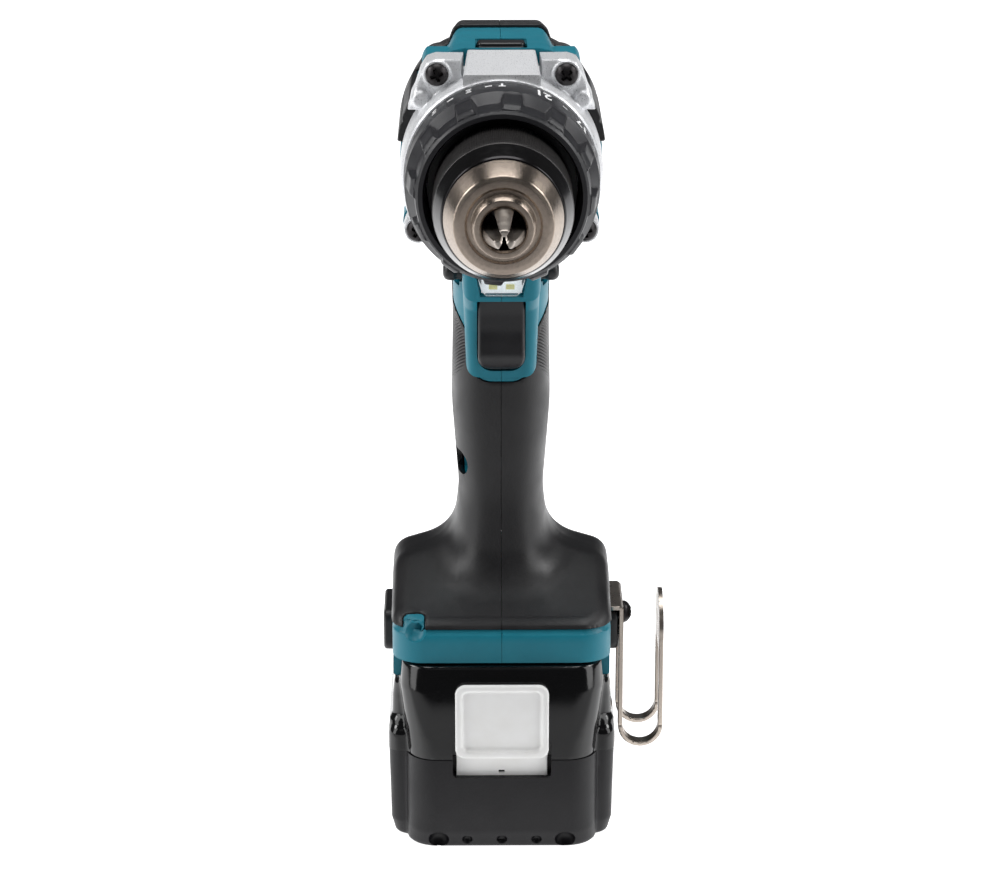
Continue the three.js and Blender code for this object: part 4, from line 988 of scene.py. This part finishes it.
def jaw_field(turn):
    length = extent("jaw_1")[1][1]

    def field(x, y, z):
        u, v = folded(x, z, turn)
        bar = np.hypot(u, (v - jaw_centre(y)) * math.cos(JAW_TILT)) - JAW_RADIUS
        hollow = np.hypot(u, v) - 1.25 + (y - TIP_Y) * 0.1 - 0.16 * np.sin((y - TIP_Y) * 7)
        sector = 0.125 + np.abs(u) * 0.866 - v * 0.5
        ends = slab(y, TIP_Y, length)
        return most(smooth_max(smooth_max(bar, ends, 0.6), sector, 0.25), -hollow)
    return field


def cut_jaw_bores(chuck):
    """Runs the three leaning bores through the chuck's body with an exact Boolean."""
    steps = 48
    angle = np.arange(steps) * 2 * math.pi / steps
    for i in range(3):
        turn = 2 * math.pi * i / 3
        ends = []
        for y in (TIP_Y, -69.0):
            u = BORE_RADIUS * np.cos(angle)
            v = jaw_centre(y) + BORE_RADIUS * np.sin(angle) / math.cos(JAW_TILT)
            x = u * math.cos(turn) + v * math.sin(turn)
            h = -u * math.sin(turn) + v * math.cos(turn)
            ends.append(np.stack([x, np.full(steps, y), h + AXIS + DATUM], -1) / 1000)
        mesh = bpy.data.meshes.new("bore")
        walls = [[j, (j + 1) % steps, steps + (j + 1) % steps, steps + j] for j in range(steps)]
        caps = [list(range(steps))[::-1], list(range(steps, 2 * steps))]
        mesh.from_pydata(np.concatenate(ends).tolist(), [], walls + caps)
        mesh.update()
        tool = bpy.data.objects.new("bore", mesh)
        bpy.context.scene.collection.objects.link(tool)
        cutter = chuck.modifiers.new("bore", "BOOLEAN")
        cutter.operation, cutter.solver, cutter.object = "DIFFERENCE", "EXACT", tool
        bpy.context.view_layer.update()
        result = bpy.data.meshes.new_from_object(chuck.evaluated_get(bpy.context.evaluated_depsgraph_get()))
        chuck.modifiers.remove(cutter)
        chuck.data = result
        bpy.data.objects.remove(tool)


def add_jaws():
    for i in range(3):
        jaw = f"jaw_{i + 1}"
        low, high = extent(jaw)
        turn = math.atan2((low[0] + high[0]) / 2, (low[2] + high[2]) / 2 - AXIS)
        turn = round(turn / (math.pi * 2 / 3)) * math.pi * 2 / 3
        grow_over(jaw, jaw + "_bar", jaw_field(turn), 0.28, jaw_steel, jaw, "bright_steel", sharp=30)


# ---- screws ----

def screw_mesh(radius, height, drive, length):
    """A cross-recess pan head lying along +Z, its seat at z = 0 and its shank below."""
    def field(x, y, z):
        r = np.hypot(x, y)
        ball = (radius ** 2 + height ** 2) / (2 * height) * 1.05
        dome = np.sqrt(r ** 2 + (z - height + ball) ** 2) - ball
        head_part = smooth_max(most(dome, -z), r - radius, 0.5)
        shank = most(r - 1.75, z - 0.5, -length - z)
        arm = 0.42 + 0.2 * np.clip((z - height + 1.6) / 1.6, 0, 1)
        flutes = least(most(np.abs(x) - arm, np.abs(y) - drive), most(np.abs(y) - arm, np.abs(x) - drive))
        mouth = drive * (0.6 + 0.4 * np.clip((z - height + 1.7) / 1.7, 0, 1))
        taper = most(flutes, height - 1.7 - z, r - mouth)
        return most(least(head_part, shank), -taper)

    vertices, quads = surface(field, (-radius, -radius, -length), (radius, radius, height), 0.24 * COARSE)
    return vertices, quads


def add_screw(name, source, seat, toward, spin, body):
    """A copy of a screw with its seat at a point and its head toward a direction."""
    vertices, quads = source
    c, s = math.cos(spin), math.sin(spin)
    x, y, z = (vertices @ np.array([[c, s, 0], [-s, c, 0], [0, 0, 1]])).T
    if toward == "-y":
        points = np.stack([x, -z, y], -1)
    elif toward == "-x":
        points = np.stack([-z, -x, y], -1)
    else:
        points = np.stack([z, x, y], -1)
    mesh = mesh_of(name, points + np.array(seat), quads, sharp=30)
    add(name + "_head", mesh, black_steel.material, body, name, slot="black_steel")


def add_screws():
    source = screw_mesh(3.75, 2.6, 2.5, 6)
    spins = (0.35, 0.75, 0.2, 0.95)
    for i in range(4):
        low, high = extent(f"gear_case_screw_{i + 1}")
        middle = [(low[0] + high[0]) / 2, low[1] + 2.6, (low[2] + high[2]) / 2]
        add_screw(f"gear_case_screw_{i + 1}", source, middle, "-y", spins[i], "tool")
    source = screw_mesh(3.4, 2.2, 2.2, 6)
    for i in range(4):
        low, high = extent(f"housing_screw_{i + 1}")
        middle = [low[0] + 2.2, (low[1] + high[1]) / 2, (low[2] + high[2]) / 2]
        add_screw(f"housing_screw_{i + 1}", source, middle, "-x", spins[i] + 0.2, "tool")
    low, high = extent("hook_screw")
    source = screw_mesh((high[1] - low[1]) / 2 - 0.1, 3, 2.8, 9)
    middle = [high[0] - 3, (low[1] + high[1]) / 2, (low[2] + high[2]) / 2]
    add_screw("hook_screw", source, middle, "+x", 0.5, "tool")


# ---- controls and lamp ----

trigger_front = eased([(150, -26), (154, -32.2), (158, -34.4), (166, -32.6), (172, -32.5), (178, -33.4)], 2.2)


def trigger(x, y, z):
    low, high = 152.6, 177.7
    face = most(trigger_front(z)[0] - y, y + 18, low - z, z - high)
    front = most(rounded_rectangle(x, z, (-7.6, low), (7.6, high + 8), 5), z - high)
    return smooth_max(face, front, 1.4)


def direction_lever(x, y, z):
    (_, y0, z0), (x1, y1, z1) = extent("direction_lever")
    bar = rounded_rectangle(y, z, (y0, z0), (y1, z1), 2.8)
    waist = 0.35 * np.clip(np.abs(x) - 14.5, 0, 1) - 0.35
    return smooth_max(bar - waist, np.abs(x) - x1, 2.6)


def speed_lever(x, y, z):
    h = z - AXIS
    (_, y0, _), (_, y1, top) = extent("speed_lever")
    plate = block(x, y, h, (-11, y0, 28), (11, y1, 30), 0.3)
    neck = block(x, y, h, (-7.6, -22, 29), (7.6, -9, 35.3), 0.8)
    ridge = meet(rounded_rectangle(x, y, (-7.5, -20), (7.5, -14), 1.4), slab(h, 30, top - AXIS), 0.7)
    steps = 0.25 * np.cos((y + 11.5) * 2 * math.pi / 1.4) * (y > -13.2) * (y < -9.6)
    return least(plate, smooth_min(neck - steps * (h > 34), ridge, 0.8))


def add_controls():
    grow("trigger_button", trigger, (-8, -35, 152), (8, -17, 178), 0.42, trigger_black.material, "trigger",
         "trigger", slot="charcoal_plastic", sharp=50)
    grow_over("direction_lever", "direction_lever_bar", direction_lever, 0.4, controls_black,
              "direction_lever", "black_plastic", sharp=50)
    grow_over("speed_lever", "speed_lever_slide", speed_lever, 0.4, controls_black, "speed_lever",
              "black_plastic")
    (_, y0, z0), (_, y1, z1) = extent("lamp_lens")

    def lens_field(x, y, z):
        plate = outline(x, z, [
            (-4.9, z0), (4.9, z0), (6.4, z0 + 1.4), (7.7, z1), (-7.7, z1), (-6.4, z0 + 1.4),
        ])
        return meet(plate, slab(y, y0, y1), 0.35)

    grow("lamp_lens_cover", lens_field, (-8, y0, z0), (8, y1, z1), 0.28, lens.material, "tool", "lamp_lens",
         slot="clear_lens")
    (_, b0, c0), (_, b1, c1) = extent("lamp_board")

    def reflector_field(x, y, z):
        tray = meet(most(np.abs(x) - 6.5, slab(z, c0, c1)), slab(y, b0, b1), 0.1)
        rim = least(*[block(x, y, z, (a - 1.9, b0 - 0.42, c0 + 0.9), (a + 1.9, b0 + 0.2, c1 - 0.9), 0.1)
                      for a in (-2.75, 2.75)])
        return least(tray, rim)

    grow("lamp_reflector", reflector_field, (-7, b0 - 0.6, c0), (7, b1, c1), 0.25, reflector.material, "tool",
         "lamp_board", slot="led_board")

    def chips(x, y, z):
        return least(*[block(x, y, z, (a - 1.35, b0 - 0.58, c0 + 1.35), (a + 1.35, b0 - 0.4, c1 - 1.35), 0.04)
                       for a in (-2.75, 2.75)])

    grow("lamp_chips", chips, (-5, b0 - 0.7, c0), (5, b0, c1), 0.16, chip.material, "tool", slot="led_board")


# ---- belt hook ----

def belt_hook(x, y, z):
    (x0, y0, z0), (x1, y1, z1) = extent("belt_hook")
    gauge, inner, outer, flange = 1.5, 41.3, x1 - 1.5, 65.5
    bend = (outer - inner) / 2
    low, middle = z0 + bend + gauge, (inner + outer) / 2
    legs = least(most(slab(x, inner - gauge, inner), slab(z, low, flange + 0.6)),
                 most(slab(x, outer, outer + gauge), slab(z, low, z1)))
    curl = most(np.abs(np.hypot(x - middle, z - low) - bend - gauge / 2) - gauge / 2, z - low)
    corner = (inner - gauge - 0.2, flange - 0.2)
    turn = most(np.abs(np.hypot(x - corner[0], z - corner[1]) - 0.95) - gauge / 2,
                corner[0] - x, corner[1] - z)
    top = most(slab(z, flange, flange + gauge), slab(x, x0, inner - gauge))
    strip = least(legs, curl, turn, top)
    side = slab(y, y0, y1)
    window = rounded_rectangle(y, z, (y0 + 5, 4), (y1 - 5, 50), 3)
    window = most(window, z - 50)
    round_end = np.where((z > z1 - 13) & (x > 48), np.hypot(y - (y0 + y1) / 2, z - z1 + 13) - 13, -5.0)
    hole = most(rod(y, z, 2.3, (-8, 60.5)), x - 45)
    return meet(most(strip, round_end), most(side, -window, -hole), 0.45)


def add_hook():
    grow_over("belt_hook", "belt_hook_strip", belt_hook, 0.5, nickel, "tool", "nickel")


# ---- battery ----

PARTING = extent("battery_case_lower")[1][2]
BASE = -DATUM
HALF_WIDTH, HALF_LENGTH = 37.5, 57.5
SHOULDER, TOP = 49.7, 58.1
BLOCK_REAR = -40.3


def inset_at(z):
    base = np.interp(z, [BASE, BASE + 6, 12, 34], [2.6, 0.8, 0.5, 0])
    return base + 4.2 * (np.maximum(z - 34, 0) / 24.1) ** 2


def nose(x, y, half, inset):
    """The front of the battery, which stands ahead of its side wings."""
    return most(meet(np.abs(x) - half, -(y + HALF_LENGTH - inset), 10), y - 20)


def flanks(x, y, z):
    levels = [BASE, BASE + 6, 12, PARTING, 36, 38, 44, SHOULDER]
    inset = np.interp(z, levels, [2.6, 0.8, 0.5, 0, 0.2, 1.4, 1.6, 2.4])
    return meet(np.abs(x) - HALF_WIDTH + inset * 0.8, np.abs(y - 5) - 52.5 + inset, 5)


def button_window(x, y, z):
    reach = extent("battery_button")[1][0] + 0.9
    return meet(rounded_rectangle(x, z, (-reach, 20.2), (reach, 34), 1.6), slab(y, -60, -53), 0.1)


def lower_case(x, y, z):
    outside = smooth_min(nose(x, y, 31.5, inset_at(z)), flanks(x, y, z), 1.5)
    outside = smooth_max(outside, BASE - z, 1.6)
    lines = most(slab(np.abs(x), 20.9, 21.25), -(y + 56), -(outside + 0.2))
    feet = 1e9
    for u, r in ((-21, 3.4), (21, 3.4), (0, 1.7), (-11.5, 1.7), (11.5, 1.7)):
        feet = least(feet, np.sqrt((x - u) ** 2 + (y + 55.8) ** 2 + ((z - BASE - 3) * 1.1) ** 2) - r)
    room = most(flanks(x, y, z) + 2.6, BASE + 2 - z)
    return most(outside, z - PARTING, -room, -lines, -feet, -button_window(x, y, z))


def upper_case(x, y, z):
    low = PARTING + GAP
    front = nose(x, y, np.interp(z, [PARTING, 36, 50, TOP], [31, 31.8, 33.6, 33]), inset_at(z))
    front = most(front, y - BLOCK_REAR)
    front = smooth_max(front, z - TOP, 1.2)
    sides = flanks(x, y, z)
    body = smooth_max(sides, z - SHOULDER, 1.6)
    wings = block(x, y, z, (-37.5, -49.5, 20), (37.5, -38, 35.8), 4.2)
    body = smooth_min(body, wings, 1.0)
    platform = block(x, y, z, (-28.2, BLOCK_REAR - 1, 45), (28.2, 47.2, TOP), 0.7)
    outside = least(smooth_min(front, body, 1.4), platform)
    lines = most(least(slab(x, -20.9, -20.6), slab(x, 21.4, 21.7)), -(y + 56), -(outside + 0.12))
    grooves = most(slab(np.abs(x), 26.3, 30), slab(y, BLOCK_REAR, 48), slab(z, 53, 55.6))
    room = least(most(flanks(x, y, z) + 3, z - 46), block(x, y, z, (-24, -36, 40), (24, 10, 55.5), 0.1))
    slots = most(slab(np.abs(x), 10.6, 13.4), slab(y, 14, 50), slab(z, 51.8, 60))
    fine_slots = most(slab(np.abs(np.abs(x) - 5), -1, 0.7), slab(y, 30, 50), slab(z, 55, 60))
    stem = block(x, y, z, (-8, -60, 27), (8, -48, 49.6), 0.3)
    return most(outside, low - z, -room, -grooves, -slots, -fine_slots, -stem, -lines,
                -button_window(x, y, z))


def battery_inside(x, y, z):
    rooms = (flanks(x, y, z) < -1.6) & (z < 46.3) & (y > -49)
    return rooms | (z < BASE + 0.4) & (np.abs(x) < 30) & (np.abs(y) < 50)


def button(x, y, z):
    (x0, y0, z0), (x1, y1, z1) = extent("battery_button")
    bottom = 28.1
    half = (x1 - x0) / 2
    face = rounded_rectangle(x, z, (-half, bottom), (half, z1), 3.4)
    pad = meet(face, slab(y, -59.8, -57.7), 0.7)
    inner = rounded_rectangle(x, z, (-half + 2.3, bottom + 2.6), (half - 2.3, z1 - 2.2), 2)
    depth = -58.4 - 0.2 * (z - bottom) / (z1 - bottom)
    dish = smooth_max(inner + (y + 59) * 0.55, y - depth, 0.5)
    pad = smooth_max(pad, -dish, 0.5)
    stem = block(x, y, z, (-7, -58.2, 33), (7, -50, 48.6), 0.2)
    neck = block(x, y, z, (-15, -58, bottom + 0.6), (15, -53.4, bottom + 5), 0.2)
    lip = block(x, y, z, (-15, -54.7, z0), (15, -53.4, bottom + 5), 0.2)
    notch = block(x, y, z, (-1.1, -56, 21), (0.9, -52, 22.1), 0.1)
    return least(pad, stem, neck, most(lip, -notch))


def add_battery():
    grow_over("battery_case_lower", "battery_lower_shell", lower_case, 0.85, battery_matt, "battery",
              "battery_matt", plain=battery_inside)
    grow_over("battery_case_upper", "battery_upper_shell", upper_case, 0.75, battery_gloss, "battery",
              "battery_gloss", plain=battery_inside, sharp=40)
    grow_over("battery_button", "battery_release", button, 0.5, white_plastic, "battery_button",
              "button_white", sharp=50)


# ---- the rest of the parts keep their CAD shapes ----

def repaint():
    for part in frame["record"]["subparts"]:
        for place in frame["nodes"][part["node"]].material_slots:
            place.link = "OBJECT"
            place.material = SLOTS[part["material_slot"]].material


# ---- floor, light and camera ----

def add_floor():
    mesh = bpy.data.meshes.new("floor")
    mesh.from_pydata([(-4, -4, 0), (4, -4, 0), (4, 6, 0), (-4, 6, 0)], [], [[0, 1, 2, 3]])
    floor = bpy.data.objects.new("floor", mesh)
    bpy.context.scene.collection.objects.link(floor)
    finish = Finish("floor", (222, 222, 223), 0.9, Emission_Color=(1, 1, 1, 1))
    finish.rough(finish.noise(40), 0.05)
    depth = finish.node("ShaderNodeSeparateXYZ", Vector=finish.place).outputs[1]
    glow = finish.between(depth, -0.13, -0.075, 0, 1.0)
    finish.connect(glow, finish.shader.inputs["Emission Strength"])
    mesh.materials.append(finish.material)


def add_light(name, place, aim, size, power, tint=(1, 1, 1)):
    data = bpy.data.lights.new(name, "AREA")
    data.shape = "RECTANGLE"
    data.size, data.size_y = size
    data.energy = power
    data.color = tint
    light = bpy.data.objects.new(name, data)
    bpy.context.scene.collection.objects.link(light)
    light.location = place
    light.rotation_euler = (Vector(aim) - Vector(place)).to_track_quat("-Z", "Y").to_euler()


def add_studio():
    world = bpy.data.worlds.new("studio")
    bpy.context.scene.world = world
    world.use_nodes = True
    world.node_tree.nodes["Background"].inputs[0].default_value = (0.95, 0.97, 1, 1)
    world.node_tree.nodes["Background"].inputs[1].default_value = 0.09
    add_light("top", (0, 0.1, 1.6), (0, 0, 0.15), (1.0, 1.0), 13)
    add_light("upper_left", (-1.1, 0.0, 1.05), (0, 0, 0.1), (0.4, 0.5), 6)
    add_light("upper_right", (1.1, 0.0, 1.05), (0, 0, 0.1), (0.4, 0.5), 6)
    add_light("left", (-1.1, -0.45, 0.56), (0, 0, 0.12), (0.6, 1.1), 6)
    add_light("right", (1.1, -0.45, 0.56), (0, 0, 0.12), (0.6, 1.1), 6)
    add_light("front", (0.0, -1.5, 1.5), (0, 0, 0.1), (1.4, 0.5), 0.5)
    bpy.context.scene.view_settings.view_transform = "Standard"


def add_camera():
    data = bpy.data.cameras.new("camera")
    camera = bpy.data.objects.new("camera", data)
    bpy.context.scene.collection.objects.link(camera)
    data.sensor_width = 36
    data.lens = 124.2
    data.clip_start, data.clip_end = 0.05, 50
    camera.location = (-0.0095, -1.110, 0.471 + DATUM / 1000)
    camera.rotation_euler = (math.radians(72.5), 0, -0.0084)
    bpy.context.scene.camera = camera


add_body()
add_gear_case()
add_marks()
add_chuck()
add_jaws()
add_screws()
add_controls()
add_hook()
add_battery()
repaint()
add_floor()
add_studio()
add_camera()
